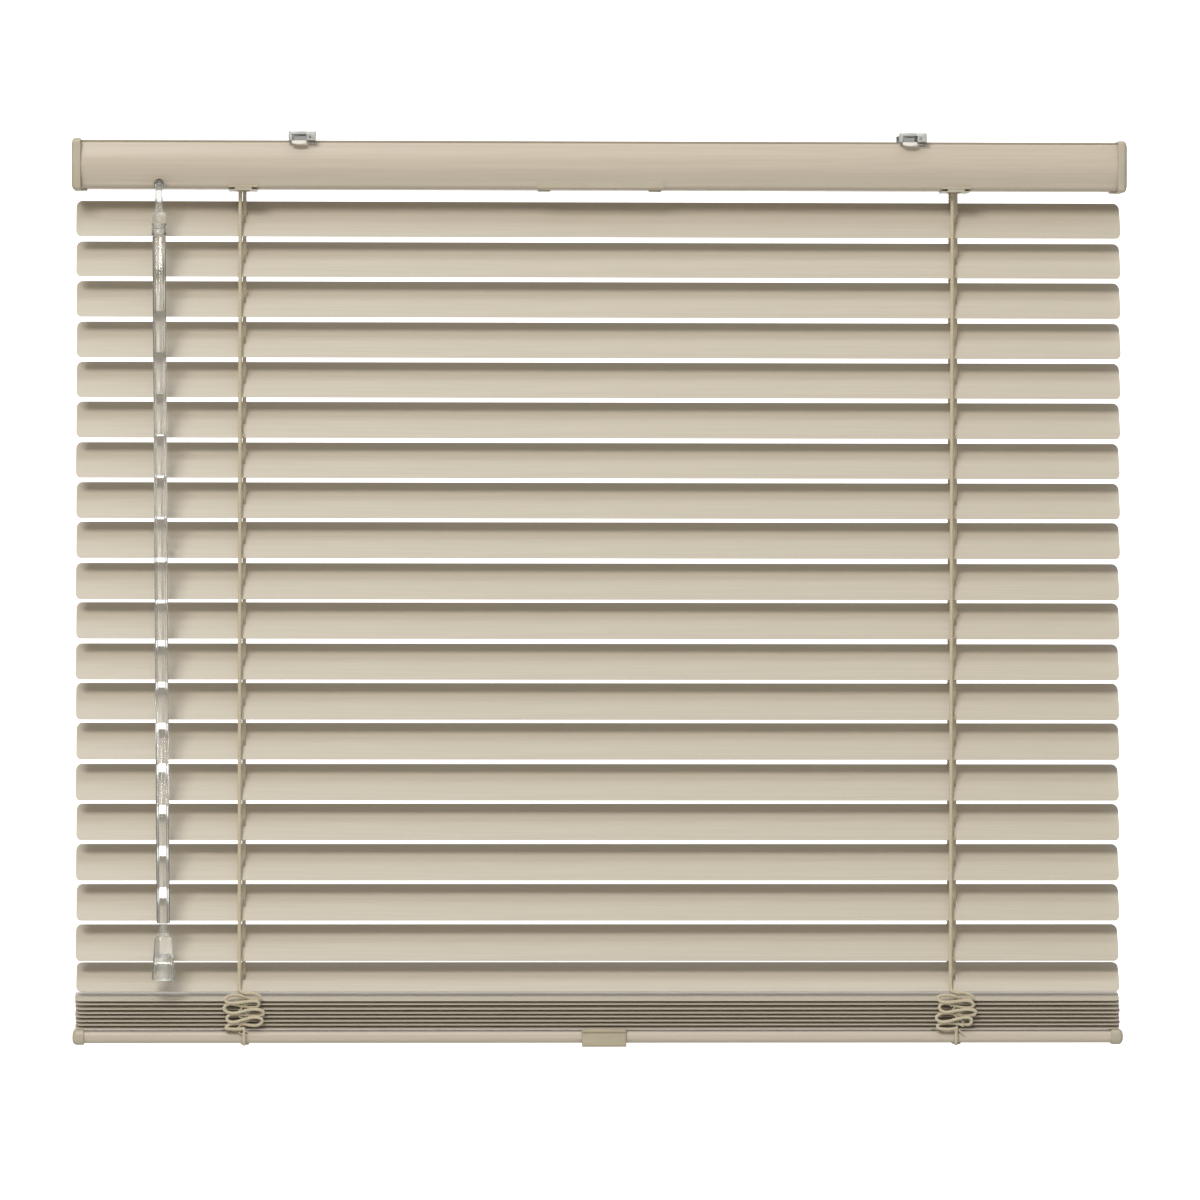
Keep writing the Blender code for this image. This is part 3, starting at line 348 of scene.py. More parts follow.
class Nodes:
    """Short calls that add and wire shader nodes."""

    def __init__(self, name, color, roughness, **sockets):
        self.material = bpy.data.materials.new(name)
        self.material.use_nodes = True
        self.tree = self.material.node_tree
        self.shader = self.tree.nodes["Principled BSDF"]
        self.color = color
        self.shader.inputs["Base Color"].default_value = (*color, 1)
        self.shader.inputs["Roughness"].default_value = roughness
        for key, value in sockets.items():
            socket = "IOR" if key == "ior" else key.replace("_", " ").title()
            self.shader.inputs[socket].default_value = value
        self.coords = self.tree.nodes.new("ShaderNodeTexCoord").outputs["Object"]

    def add(self, kind, **settings):
        node = self.tree.nodes.new(kind)
        for key, value in settings.items():
            setattr(node, key, value)
        return node

    def link(self, start, end):
        self.tree.links.new(start, end)

    def stretched(self, scale):
        mapping = self.add("ShaderNodeMapping")
        mapping.inputs["Scale"].default_value = scale
        self.link(self.coords, mapping.inputs["Vector"])
        return mapping.outputs["Vector"]

    def noise(self, scale, detail=3.0, stretch=(1, 1, 1)):
        noise = self.add("ShaderNodeTexNoise")
        noise.inputs["Scale"].default_value = scale
        noise.inputs["Detail"].default_value = detail
        self.link(self.stretched(stretch), noise.inputs["Vector"])
        return noise.outputs["Fac"]

    def tint(self, factor, dark, light=(1, 1, 1), spread=(0.35, 0.65)):
        """Vary the colour between two multiples of it, by a factor."""
        ramp = self.add("ShaderNodeValToRGB")
        for stop, place_at, gain in zip(ramp.color_ramp.elements, spread, (dark, light)):
            stop.position = place_at
            stop.color = (*(min(1.0, c * g) for c, g in zip(self.color, gain)), 1)
        self.link(factor, ramp.inputs["Fac"])
        self.link(ramp.outputs["Color"], self.shader.inputs["Base Color"])
        return ramp

    def rough(self, factor, low, high):
        span = self.add("ShaderNodeMapRange")
        span.inputs["To Min"].default_value = low
        span.inputs["To Max"].default_value = high
        self.link(factor, span.inputs["Value"])
        self.link(span.outputs["Result"], self.shader.inputs["Roughness"])

    def bump(self, *layers):
        """Each layer is a height, its strength and its distance."""
        normal = None
        for height, strength, distance in layers:
            bump = self.add("ShaderNodeBump")
            bump.inputs["Strength"].default_value = strength
            bump.inputs["Distance"].default_value = distance
            self.link(height, bump.inputs["Height"])
            if normal is not None:
                self.link(normal, bump.inputs["Normal"])
            normal = bump.outputs["Normal"]
        self.link(normal, self.shader.inputs["Normal"])


def enamel(name, color, roughness, peel):
    """Coil-coated metal: faint rolling streaks, a little orange peel and an uneven gloss."""
    made = Nodes(name, color, roughness, coat_weight=0.25, coat_roughness=0.18)
    streaks = made.noise(900, 2.0, (0.02, 1, 1))
    made.tint(streaks, (0.965, 0.962, 0.955), (1.02, 1.02, 1.02))
    made.rough(made.noise(60, 4.0), roughness - 0.06, roughness + 0.06)
    made.bump((streaks, 0.05, 0.05 * MM), (made.noise(1500, 2.0), peel, 0.04 * MM))
    return made.material


def cream_plastic(name, color):
    made = Nodes(name, color, 0.42, subsurface_weight=0.12,
                 subsurface_scale=0.002, coat_weight=0.1)
    made.tint(made.noise(90, 5.0), (0.95, 0.945, 0.92), (1.03, 1.03, 1.03))
    made.rough(made.noise(140, 3.0), 0.36, 0.5)
    made.bump((made.noise(2600, 3.0), 0.2, 0.03 * MM), (made.noise(150, 2.0), 0.08, 0.2 * MM))
    return made.material


def clear_plastic(name, color, edge, roughness, ripple, clarity=0.9):
    """Moulded clear plastic: slow ripples along it, a little haze, and painted shade where it is seen
    edge-on, standing in for the darker surroundings its edges show.
    """
    made = Nodes(name, color, roughness, transmission_weight=clarity, ior=1.49)
    facing = made.add("ShaderNodeLayerWeight")
    facing.inputs["Blend"].default_value = 0.35
    # painted shade: the colour darkens towards the edge colour where the surface is seen edge-on
    made.tint(facing.outputs["Facing"], (1.0, 1.0, 1.0), edge, (0.25, 0.95))
    made.rough(made.noise(220, 4.0), roughness * 0.6, roughness * 1.6)
    made.bump((made.noise(240, 2.0, (1, 1, 0.12)), ripple, 0.1 * MM))
    return made.material


def cord_fibre(name, color):
    """Polyester yarn: fine fibres, a soft sheen and slight soiling."""
    made = Nodes(name, color, 0.85, sheen_weight=0.35, sheen_roughness=0.45)
    fibres = made.noise(3200, 4.0, (1, 1, 0.35))
    made.tint(fibres, (0.78, 0.76, 0.70), (1.08, 1.07, 1.05), (0.3, 0.7))
    made.rough(made.noise(700, 2.0), 0.75, 0.95)
    made.bump((fibres, 0.5, 0.08 * MM))
    return made.material


def steel(name, color, roughness, stretch):
    made = Nodes(name, color, roughness, metallic=1.0)
    lines = made.noise(1800, 3.0, stretch)
    made.tint(lines, (0.86, 0.86, 0.86), (1.05, 1.05, 1.05))
    made.rough(lines, roughness - 0.08, roughness + 0.1)
    made.bump((lines, 0.12, 0.03 * MM))
    return made.material


def white_plastic():
    made = Nodes("white_plastic", (0.78, 0.78, 0.74), 0.5, subsurface_weight=0.1,
                 subsurface_scale=0.002)
    made.tint(made.noise(60, 4.0), (0.95, 0.95, 0.93), (1.02, 1.02, 1.02))
    made.rough(made.noise(120, 3.0), 0.42, 0.6)
    made.bump((made.noise(2200, 3.0), 0.25, 0.03 * MM))
    return made.material


SLAT_ENAMEL = enamel("slat_enamel", (0.55, 0.49, 0.395), 0.42, 0.10)
RAIL_ENAMEL = enamel("rail_enamel", (0.55, 0.475, 0.375), 0.38, 0.12)
CREAM_PLASTIC = cream_plastic("cream_plastic", (0.49, 0.435, 0.335))
HANDLE_CREAM = cream_plastic("handle_plastic", (0.43, 0.375, 0.27))
# The third colour of each clear plastic is the painted shade at its edges.
CLEAR = clear_plastic("clear_plastic", (0.985, 0.99, 0.975), (0.66, 0.66, 0.64), 0.02, 0.03, 0.93)
HOOK_CLEAR = clear_plastic("hook_plastic", (0.80, 0.79, 0.775), (0.40, 0.39, 0.38), 0.06, 0.06, 0.82)
BRACKET_CLEAR = clear_plastic("bracket_plastic", (0.74, 0.745, 0.72), (0.40, 0.40, 0.37), 0.15, 0.05, 0.5)
TAB_CLEAR = clear_plastic("tab_plastic", (0.93, 0.89, 0.81), (0.8, 0.78, 0.7), 0.35, 0.1, 0.1)
STRING = cord_fibre("ladder_string", (0.60, 0.53, 0.39))
LIFT_CORD = cord_fibre("lift_cord", (0.60, 0.525, 0.40))
ROD_STEEL = steel("rod_steel", (0.60, 0.60, 0.61), 0.3, (0.02, 1, 1))
SPRING_STEEL = steel("spring_steel", (0.33, 0.35, 0.39), 0.28, (1, 1, 0.05))
WHITE_PLASTIC = white_plastic()


# ---------------------------------------------------------------- sizes read from the frame

RAIL_LOW, RAIL_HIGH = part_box("headrail")
RAIL_TOP, RAIL_BOTTOM = RAIL_HIGH.z, RAIL_LOW.z
RAIL_HALF = RAIL_HIGH.y
LADDER_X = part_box("ladder_drum_right")[0].lerp(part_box("ladder_drum_right")[1], 0.5).x
BALL = JOINT_AT["wand_swing_forward"]
PIN = JOINT_AT["wand_swing_side"]
TILTER_X = JOINT_AT["worm_spin"].x
ROD_Z = JOINT_AT["tilt"].z
BOTTOM_LOW, BOTTOM_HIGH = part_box("bottom_rail")
BOTTOM_MIDDLE = BOTTOM_LOW.lerp(BOTTOM_HIGH, 0.5)
PIVOT = {-1: JOINT_AT["ladder_front_shift"], 1: JOINT_AT["ladder_back_shift"]}


def string_x(side):
    return side * LADDER_X - STRING_LEFT


def cord_x(side):
    return side * LADDER_X + CORD_RIGHT


# ---------------------------------------------------------------- headrail

def rail_outline(inset):
    """The headrail's outline moved inward by inset: back wall, floor, bulged front."""
    back = RAIL_HALF - inset
    front = -(RAIL_HALF - RAIL_BULGE - inset)
    top, low = RAIL_TOP - inset, RAIL_BOTTOM + inset
    radius = max(RAIL_CORNER - inset, 0.4 * MM)
    wall = []
    steps = 18
    for i in range(1, steps):
        share = i / steps
        height = low + radius + (top - low - 2 * radius) * share
        wall.append((front - RAIL_BULGE * math.sin(math.pi * share), height))
    return (
        arc((back - radius, top - radius), radius, 90, 0)
        + arc((back - radius, low + radius), radius, 0, -90)
        + arc((front + radius, low + radius), radius, 270, 180)
        + wall
        + arc((front + radius, top - radius), radius, 180, 90)
    )


def arch_points(radius, spring, foot):
    """The tilter's arch, from its right foot over the top to its left one."""
    return ([(TILTER_X + radius, foot)] + arc((TILTER_X, spring), radius, 0, 180, 14)
            + [(TILTER_X - radius, foot)])


def make_headrail():
    tip = RAIL_HALF - RAIL_LIP
    under = RAIL_TOP - RAIL_WALL
    hem = RAIL_HEM / 2
    back_hem = arc((tip, RAIL_TOP - hem), hem, 270, 90, 6)
    front_hem = [(-y, z) for y, z in reversed(back_hem)]
    inner_back = [(tip, RAIL_TOP - 2 * hem), (tip + 0.4 * MM, under)]
    inner = rail_outline(RAIL_WALL)[::-1]
    outline = back_hem + rail_outline(0.0) + front_hem + [(-tip - 0.4 * MM, under)] + inner
    outline += [inner_back[1]]
    rail = shape("headrail_shell", long_prism(outline, RAIL_LOW.x, RAIL_HIGH.x))
    deep = (RAIL_BOTTOM - 2 * MM, RAIL_BOTTOM + 2.5 * MM)
    for node in ("cradle_left", "cradle_right"):
        low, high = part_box(node)
        middle = (low.x + high.x) / 2
        reach = RAIL_HALF - RAIL_BULGE - RAIL_CORNER - 1.5 * MM
        cut(rail, box((middle - CRADLE_SLOT_HALF, middle + CRADLE_SLOT_HALF), (-reach, reach), deep))
    for side in (-1, 1):
        x = side * MOTOR_FOOT_X
        half = MOTOR_FOOT_HALF
        cut(rail, box((x - half, x + half), (-half, half), deep))
    radius = NOTCH_WIDTH / 2
    spring = RAIL_BOTTOM + NOTCH_HEIGHT - radius
    arch = arch_points(radius, spring, RAIL_BOTTOM - 1 * MM)
    cut(rail, prism_y(arch, -RAIL_HALF - 1 * MM, -RAIL_HALF + 6 * MM))
    place(rail, RAIL_ENAMEL, "rail_enamel", "root", "headrail")

    # The tilter's nose lines the arch
    inner = radius - NOTCH_RIM
    ring = arch_points(radius - 0.1 * MM, spring, RAIL_BOTTOM + 0.2 * MM)
    hole = arch_points(inner, spring, RAIL_BOTTOM + 0.2 * MM)[::-1]
    nose = shape("tilter_nose", prism_y(ring + hole, -RAIL_HALF + 0.5 * MM, -9.0 * MM))
    bevel(nose, 0.15 * MM, 2)
    place(nose, CREAM_PLASTIC, "cream_plastic", "root")


def cap_bmesh(side, start, end, half_depth, low, high, corner, bow):
    """A sleeve cap: an eased inner rim, straight sides, and a rounded, bowed end."""
    turn = 2.6 * MM
    middle = (low + high) / 2
    sections = [(start + 0.15 * MM, 0.25 * MM), (start, 0.6 * MM)][::-1]
    sections += [(start + 0.45 * MM, 0.0), (end - turn, 0.0)]
    for i in range(1, 8):
        angle = math.pi / 2 * i / 8
        sections.append((end - turn + turn * math.sin(angle), turn * (1 - math.cos(angle)) * 0.8))
    rings = []
    for x, inset in sections:
        inset = min(inset, (high - low) * 0.36)
        radius = min(max(corner, 0.7 * MM), (high - low) / 2 - inset - 0.1 * MM)
        share = max(0.0, (x - start) / (end - start)) ** 2
        ring = []
        for y, z in rounded_box(-half_depth + inset, half_depth - inset, low + inset, high - inset,
                                radius, 6):
            off = ((z - middle) / ((high - low) / 2)) ** 2
            ring.append((side * (x - bow * off * share), y, z))
        rings.append(ring)
    return loft(rings)


def make_headrail_caps():
    for node, side in (("headrail_cap_left", -1), ("headrail_cap_right", 1)):
        low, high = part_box(node)
        end = max(abs(low.x), abs(high.x))
        start = RAIL_HIGH.x + 0.3 * MM - CAP_SLEEVE
        cap = shape(f"{node}_moulded",
                    cap_bmesh(side, start, end, high.y, low.z, high.z, CAP_CORNER, CAP_BOW))
        recess = [(y, z) for y, z in rounded_box(-RAIL_HALF - 0.1 * MM, RAIL_HALF + 0.1 * MM,
                                                 RAIL_BOTTOM - 0.1 * MM, RAIL_TOP + 0.1 * MM, 1.6 * MM)]
        cut(cap, prism_x(recess, *sorted((side * (start - 1 * MM), side * (end - 1.9 * MM)))))
        foot = sorted((side * (start - CAP_FOOT[0]), side * (start + 1.2 * MM)))
        wide = CAP_FOOT[1] / 2
        tongue = shape("foot", box(foot, (-wide, wide), (low.z, RAIL_BOTTOM - 0.1 * MM)))
        bevel(tongue, 0.3 * MM, 2)
        join(cap, bmesh_of(tongue.data))
        bpy.data.objects.remove(tongue)
        place(cap, CREAM_PLASTIC, "cream_plastic", "root", node)


# ---------------------------------------------------------------- brackets

def make_brackets():
    for node in ("bracket_left", "bracket_right"):
        low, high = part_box(node)
        middle = (low.x + high.x) / 2
        left, right = low.x, high.x
        front, back = low.y, high.y
        plate = 1.5 * MM
        body = new_object(f"{node}_moulded", mesh_from(prism_z(
            rounded_box(left, right, front, back, 1.6 * MM, 5), -plate, 0.0)))
        for spot in (-5 * MM, 5 * MM):
            hole = [(middle + a, spot + b) for a, b in circle(SCREW_RADIUS, 28)]
            cut(body, prism_z(hole, -3 * plate, plate))
            sink = loft([[(middle + a, spot + b, z) for a, b in circle(r, 28)]
                         for r, z in ((SCREW_RADIUS, -plate * 0.55), (3.4 * MM, -plate * 1.05))])
            cut(body, sink)
        # back plate with a screw hole, and two ribs stiffening the corner
        join(body, box((left + 0.4 * MM, right - 0.4 * MM), (back - 1.5 * MM, back), (low.z, -0.5 * plate)))
        hole = [(middle + a, -10 * MM + b) for a, b in circle(SCREW_RADIUS, 28)]
        cut(body, prism_y(hole, back - 3 * MM, back + 1 * MM))
        for x in (left + 2.2 * MM, right - 3.2 * MM):
            rib = [(x, -1 * MM), (x + 1 * MM, -1 * MM), (x + 1 * MM, -4.6 * MM), (x, -4.6 * MM)]
            join(body, prism_y(rib, -12 * MM, 12 * MM))
        # two hooks under the headrail's lips
        tip = RAIL_HALF - RAIL_LIP - 0.4 * MM
        for way in (-1, 1):
            hook = [(way * (tip + a * MM), z) for a, z in (
                (-1.2, -plate * 0.8), (0.0, -plate * 0.8), (0.0, -6.0 * MM), (1.7, -6.0 * MM),
                (1.7, -6.9 * MM), (0.4, -7.2 * MM), (-1.2, -7.2 * MM))]
            join(body, prism_x(hook, left + 0.4 * MM, left + 2.2 * MM))
            join(body, prism_x(hook, right - 5.0 * MM, right - 0.6 * MM))
        # front: a narrow left post, a broad right block with a lightening hole
        arm = -(RAIL_HALF + 0.2 * MM)
        join(body, box((left, left + 2.0 * MM), (front, arm), (RAIL_TOP - 0.1 * MM, -0.5 * plate)))
        join(body, box((right - 5.4 * MM, right), (front, arm), (RAIL_TOP - 0.1 * MM, -0.5 * plate)))
        small = [(right - 3.4 * MM + a, -3.3 * MM + b) for a, b in circle(0.75 * MM, 16)]
        cut(body, prism_y(small, front - 1 * MM, arm + 1 * MM))
        bevel(body, 0.22 * MM, 2)
        place(body, BRACKET_CLEAR, "clear_plastic", "root", node)

        # the front tab that snaps over the headrail's edge, curved at its lower side
        tab_left, tab_right = left + 1.9 * MM, left + 10.2 * MM
        outline = [(tab_left, RAIL_TOP - 0.2 * MM), (tab_right, RAIL_TOP - 0.2 * MM)]
        steps = 10
        for i in range(steps + 1):
            share = i / steps
            x = tab_right + (tab_left - tab_right) * share
            sag = math.sin(math.pi * share)
            outline.append((x, RAIL_TOP - 1.8 * MM - 0.6 * MM * sag))
        tab = shape(f"{node}_tab", prism_y(outline, front, arm))
        bevel(tab, 0.3 * MM, 3)
        place(tab, TAB_CLEAR, "clear_plastic", "root")


# ---------------------------------------------------------------- slats

def crown_height(y):
    return -SLAT_CROWN * (2 * y / SLAT_WIDTH) ** 2


def slat_corner(x_sign, y_sign, half_x, half_y, reach):
    """An elliptical corner of the slat's outline, walked clockwise seen from above."""
    center = (x_sign * (half_x - reach[0]), y_sign * (half_y - reach[1]))
    start = {(1, 1): 90, (1, -1): 0, (-1, -1): -90, (-1, 1): 180}[(x_sign, y_sign)]
    points = []
    for i in range(9):
        angle = math.radians(start - 90 * i / 8)
        points.append((center[0] + reach[0] * math.cos(angle), center[1] + reach[1] * math.sin(angle)))
    return points


def slat_mesh():
    """One curved slat about its tilt axis, with rounded corners and a slot for each lift cord."""
    bm = bmesh.new()
    half_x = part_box("slat_01")[1].x
    half_y = SLAT_WIDTH / 2
    loops = [[]]
    for x_sign, y_sign in ((1, 1), (1, -1), (-1, -1), (-1, 1)):
        reach = SLAT_BACK_CORNER if y_sign > 0 else SLAT_FRONT_CORNER
        loops[0] += slat_corner(x_sign, y_sign, half_x, half_y, reach)
    for side in (-1, 1):
        x = cord_x(side)
        wide = SLOT_WIDTH / 2
        loops.append(rounded_box(x - wide, x + wide, -SLOT_FRONT, SLOT_BACK, wide * 0.98, 4))
    edges = []
    for loop in loops:
        verts = [bm.verts.new((x, y, 0)) for x, y in loop]
        edges += [bm.edges.new((verts[i], verts[(i + 1) % len(verts)])) for i in range(len(verts))]
    bmesh.ops.triangle_fill(bm, edges=edges, use_beauty=True)
    for i in range(1, SLAT_STRIPS):
        y = -half_y + SLAT_WIDTH * i / SLAT_STRIPS
        bmesh.ops.bisect_plane(bm, geom=bm.verts[:] + bm.edges[:] + bm.faces[:], dist=1e-7,
                               plane_co=(0, y, 0), plane_no=(0, 1, 0))
    top = bmesh.ops.extrude_face_region(bm, geom=bm.faces[:])["geom"]
    for vert in [item for item in top if isinstance(item, bmesh.types.BMVert)]:
        vert.co.z += SLAT_THICK
    for vert in bm.verts:
        vert.co.z += crown_height(vert.co.y) - SLAT_THICK / 2
    return mesh_from(bm)


def slat_matrix(z, tilt):
    """A slat's place, a little off the even one as real slats hang."""
    shift = Vector((random.uniform(-1, 1), 0, random.uniform(-1, 1))) * SLAT_SHIFT
    twist = random.uniform(-1, 1) * SLAT_TWIST
    return Matrix.Translation(Vector((0, 0, z)) + shift) @ Matrix.Rotation(tilt + twist, 4, "X")


def turned(y, z, tilt):
    return (y * math.cos(tilt) - z * math.sin(tilt), y * math.sin(tilt) + z * math.cos(tilt))


def rung_paths(z, tilt):
    """The cross strands of both ladders round one slat: one over it that passes round the lift cord,
    and one under it."""
    paths = []
    lift = SLAT_THICK / 2 + RUNG_RADIUS + 0.1 * MM
    for side in (-1, 1):
        x = string_x(side)
        cross = random.uniform(5.0, 7.5) * MM
        swing = random.uniform(3.0, 4.1) * MM
        edge_swing = random.uniform(0.6, 2.6) * MM
        over = []
        for spot, off, rise in ((12.3 * MM, 0.3 * MM, 0), (cross + 2.6 * MM, 0.4 * MM, 0),
                                (cross, 1.2 * MM, 1.4 * MM), (cross - 1.8 * MM, swing - 0.8 * MM, 1.9 * MM),
                                (cross - 3.2 * MM, swing, 0.8 * MM), (cross - 7.0 * MM, 1.9 * MM, 0),
                                (-7.0 * MM, 1.3 * MM, 0), (-10.6 * MM, edge_swing, 0),
                                (-12.3 * MM, 0.5 * edge_swing, 0.2 * MM)):
            a, b = turned(spot, crown_height(spot) + lift + rise, tilt)
            over.append((x + off, a, z + b))
        under = []
        for spot, off in ((12.3 * MM, -0.3 * MM), (8 * MM, -0.5 * MM), (0.0, 0.4 * MM), (-8 * MM, -0.5 * MM),
                          (-12.3 * MM, -0.3 * MM)):
            a, b = turned(spot, crown_height(spot) - lift, tilt)
            under.append((x + off, a, z + b))
        for run, drop in ((over, 0.5 * MM), (under, -0.7 * MM)):
            back = (x, PIVOT[1].y, z + turned(SLAT_WIDTH / 2, -SLAT_CROWN, tilt)[1] + drop)
            front = (x, PIVOT[-1].y, z + turned(-SLAT_WIDTH / 2, -SLAT_CROWN, tilt)[1] + drop)
            paths.append([back] + run + [front])
    return paths


def make_rungs(node, paths):
    mesh = rope(paths, RUNG_RADIUS, 2, 1.6 * MM, sides=6, step=0.5 * MM, depth=0.2)
    place(new_object(f"{node}_rungs", mesh), STRING, "ladder_string", node, angle=80)


def make_slats():
    mesh = slat_mesh()
    for i in range(SPREAD_COUNT):
        node = f"slat_{i + 1:02d}"
        z = JOINT_AT[f"{node}_tilt"].z
        tilt = REST_TILT if i < SPREAD_COUNT - 1 else RESTING_TILT
        slat = new_object(f"{node}_enamelled", mesh, slat_matrix(z, tilt))
        place(slat, SLAT_ENAMEL, "slat_enamel", node, node, angle=50)
        make_rungs(node, rung_paths(z, tilt))
    for i in range(STACK_COUNT):
        node = f"stacked_slat_{i + 1:02d}"
        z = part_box(node)[1].z - 0.175 * MM
        tilt = STACK_TILTS[i]
        z += SLAT_WIDTH / 2 * math.sin(tilt) * STACK_PROP[i]
        slat = new_object(f"{node}_enamelled", mesh, slat_matrix(z, tilt))
        place(slat, SLAT_ENAMEL, "slat_enamel", node, node, angle=50)
        paths = []
        for side in (-1, 1):
            for way in (-1, 1):
                x = string_x(side) + random.uniform(1.0, 4.2) * MM
                path = []
                for spot, off, drop in STACK_RUNG:
                    reach = min(spot, 12.5 * MM)
                    rise = crown_height(reach) + RUNG_RADIUS + 0.2 * MM - drop
                    lean = way * reach * math.sin(tilt)
                    path.append((x + off * random.choice((-1, 1)), way * spot, z + rise + lean))
                paths.append(path)
        make_rungs(node, paths)


# ---------------------------------------------------------------- ladders and lift cords

def make_strings():
    for suffix, side in SIDES:
        for name, edge in (("ladder_front", -1), ("ladder_back", 1)):
            node = f"{name}_{suffix}"
            low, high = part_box(node)
            x, y = string_x(side), PIVOT[edge].y
            mesh = rope([[(x, y, high.z), (x, y, (high.z + low.z) / 2), (x, y, low.z)]], STRING_RADIUS, 2,
                        3.4 * MM, sides=8, depth=0.26)
            place(new_object(f"{node}_twisted", mesh), STRING, "ladder_string", name, node, angle=80)


def loop_path(x, y, top, bottom, way, start, end):
    """Gathered ladder string: uneven lying figure eights, one below the other, then straight down."""
    turns = LOOP_TIERS
    path = list(start)
    steps = 16 * turns
    phases = [random.uniform(0, TURN) for _ in range(5)]
    for i in range(steps + 1):
        t = TURN * turns * i / steps
        swell = 1.0 + 0.09 * math.sin(1.3 * t + phases[0]) + 0.05 * math.sin(2.9 * t + phases[1])
        rise = 1.5 * MM * (1.0 + 0.35 * math.sin(0.8 * t + phases[2]))
        drift = 0.7 * MM * math.sin(0.6 * t + phases[3])
        fade = min(1.0, i / 5) * min(1.0, (steps - i) / 3)
        path.append((
            x + (LOOP_HALF_WIDTH * swell * math.sin(t) + drift) * fade,
            y + way * (1.0 * MM * math.cos(t + 0.5 * math.sin(phases[4] + t)) * fade + 0.5 * MM),
            top + (bottom - top) * i / steps + rise * math.sin(2 * t) * fade,
        ))
    return path + list(end)


def hang(cord, material, node):
    """A cord that runs from the headrail down to the bottom rail: gives it its material, hides its CAD node
    and bakes its place into the mesh.
    """
    dress(cord, material, angle=80)
    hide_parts(node)
    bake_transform(cord)


def make_tails():
    resting = JOINT_AT["slat_20_tilt"].z
    stack_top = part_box("stacked_slat_01")[1].z
    low = BOTTOM_LOW.z
    for suffix, side in SIDES:
        node = f"ladder_tail_{suffix}"
        x = string_x(side) + 2.7 * MM
        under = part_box(node)[0].z + STRING_RADIUS
        front_edge = turned(-SLAT_WIDTH / 2, -SLAT_CROWN, RESTING_TILT)
        back_edge = turned(SLAT_WIDTH / 2, -SLAT_CROWN, RESTING_TILT)
        stack_y = SLAT_WIDTH / 2 + 1.5 * MM
        rail_y = BOTTOM_HIGH.y + STRING_RADIUS + 0.2 * MM
        sx = string_x(side)
        front_start = [
            (sx, PIVOT[-1].y, resting + 22 * MM), (sx, PIVOT[-1].y, resting + 4 * MM),
            (sx, PIVOT[-1].y - 0.6 * MM, resting - 3.4 * MM),
            (sx + 0.3 * MM, front_edge[0] - 1.2 * MM, resting + front_edge[1] + 0.6 * MM),
        ]
        front_end = [(x, -rail_y, BOTTOM_HIGH.z - 1.2 * MM), (x, -rail_y, low + 1.0 * MM),
                     (x, -rail_y + 1.0 * MM, under + 0.1 * MM), (x, -rail_y + 3 * MM, under)]
        plug_y = -rail_y + 5.2 * MM
        front_end.append((x, plug_y, under))
        top = stack_top - SLAT_CROWN + 4.6 * MM
        front = loop_path(x, -stack_y, top, BOTTOM_HIGH.z + 1.4 * MM, -1, front_start, front_end)
        back_start = [
            (sx, PIVOT[1].y, resting + 24 * MM), (sx, PIVOT[1].y, resting + 14 * MM),
            (sx, max(PIVOT[1].y, back_edge[0] + 1.4 * MM), resting + back_edge[1] + 1 * MM),
            (sx + 0.3 * MM, back_edge[0] + 2.2 * MM, resting + back_edge[1] - 5 * MM),
        ]
        back_end = [(px, -py, pz) for px, py, pz in front_end]
        back = loop_path(x, stack_y, top, BOTTOM_HIGH.z + 1.4 * MM, 1, back_start, back_end)
        mesh = rope([front, back], 0.9 * STRING_RADIUS, 2, 3.4 * MM, sides=8, depth=0.28)
        tail = new_object(f"{node}_gathered", mesh)
        hang(tail, STRING, node)

        # the cord plugs pressed into the bottom rail's underside
        for number, spot in enumerate((plug_y, 0.0, -plug_y)):
            plug = new_object(f"cord_plug_{suffix}_{number + 1}", mesh_from(lathe([
                (1.2 * MM, 0.6 * MM), (2.5 * MM, 0.0), (2.5 * MM, -0.5 * MM), (2.2 * MM, -0.9 * MM),
                (1.2 * MM, -1.05 * MM), (0.5 * MM, -0.8 * MM)], 24)),
                Matrix.Translation((x + 0.5 * MM, spot, low)))
            place(plug, CREAM_PLASTIC, "cream_plastic", "bottom_rail")


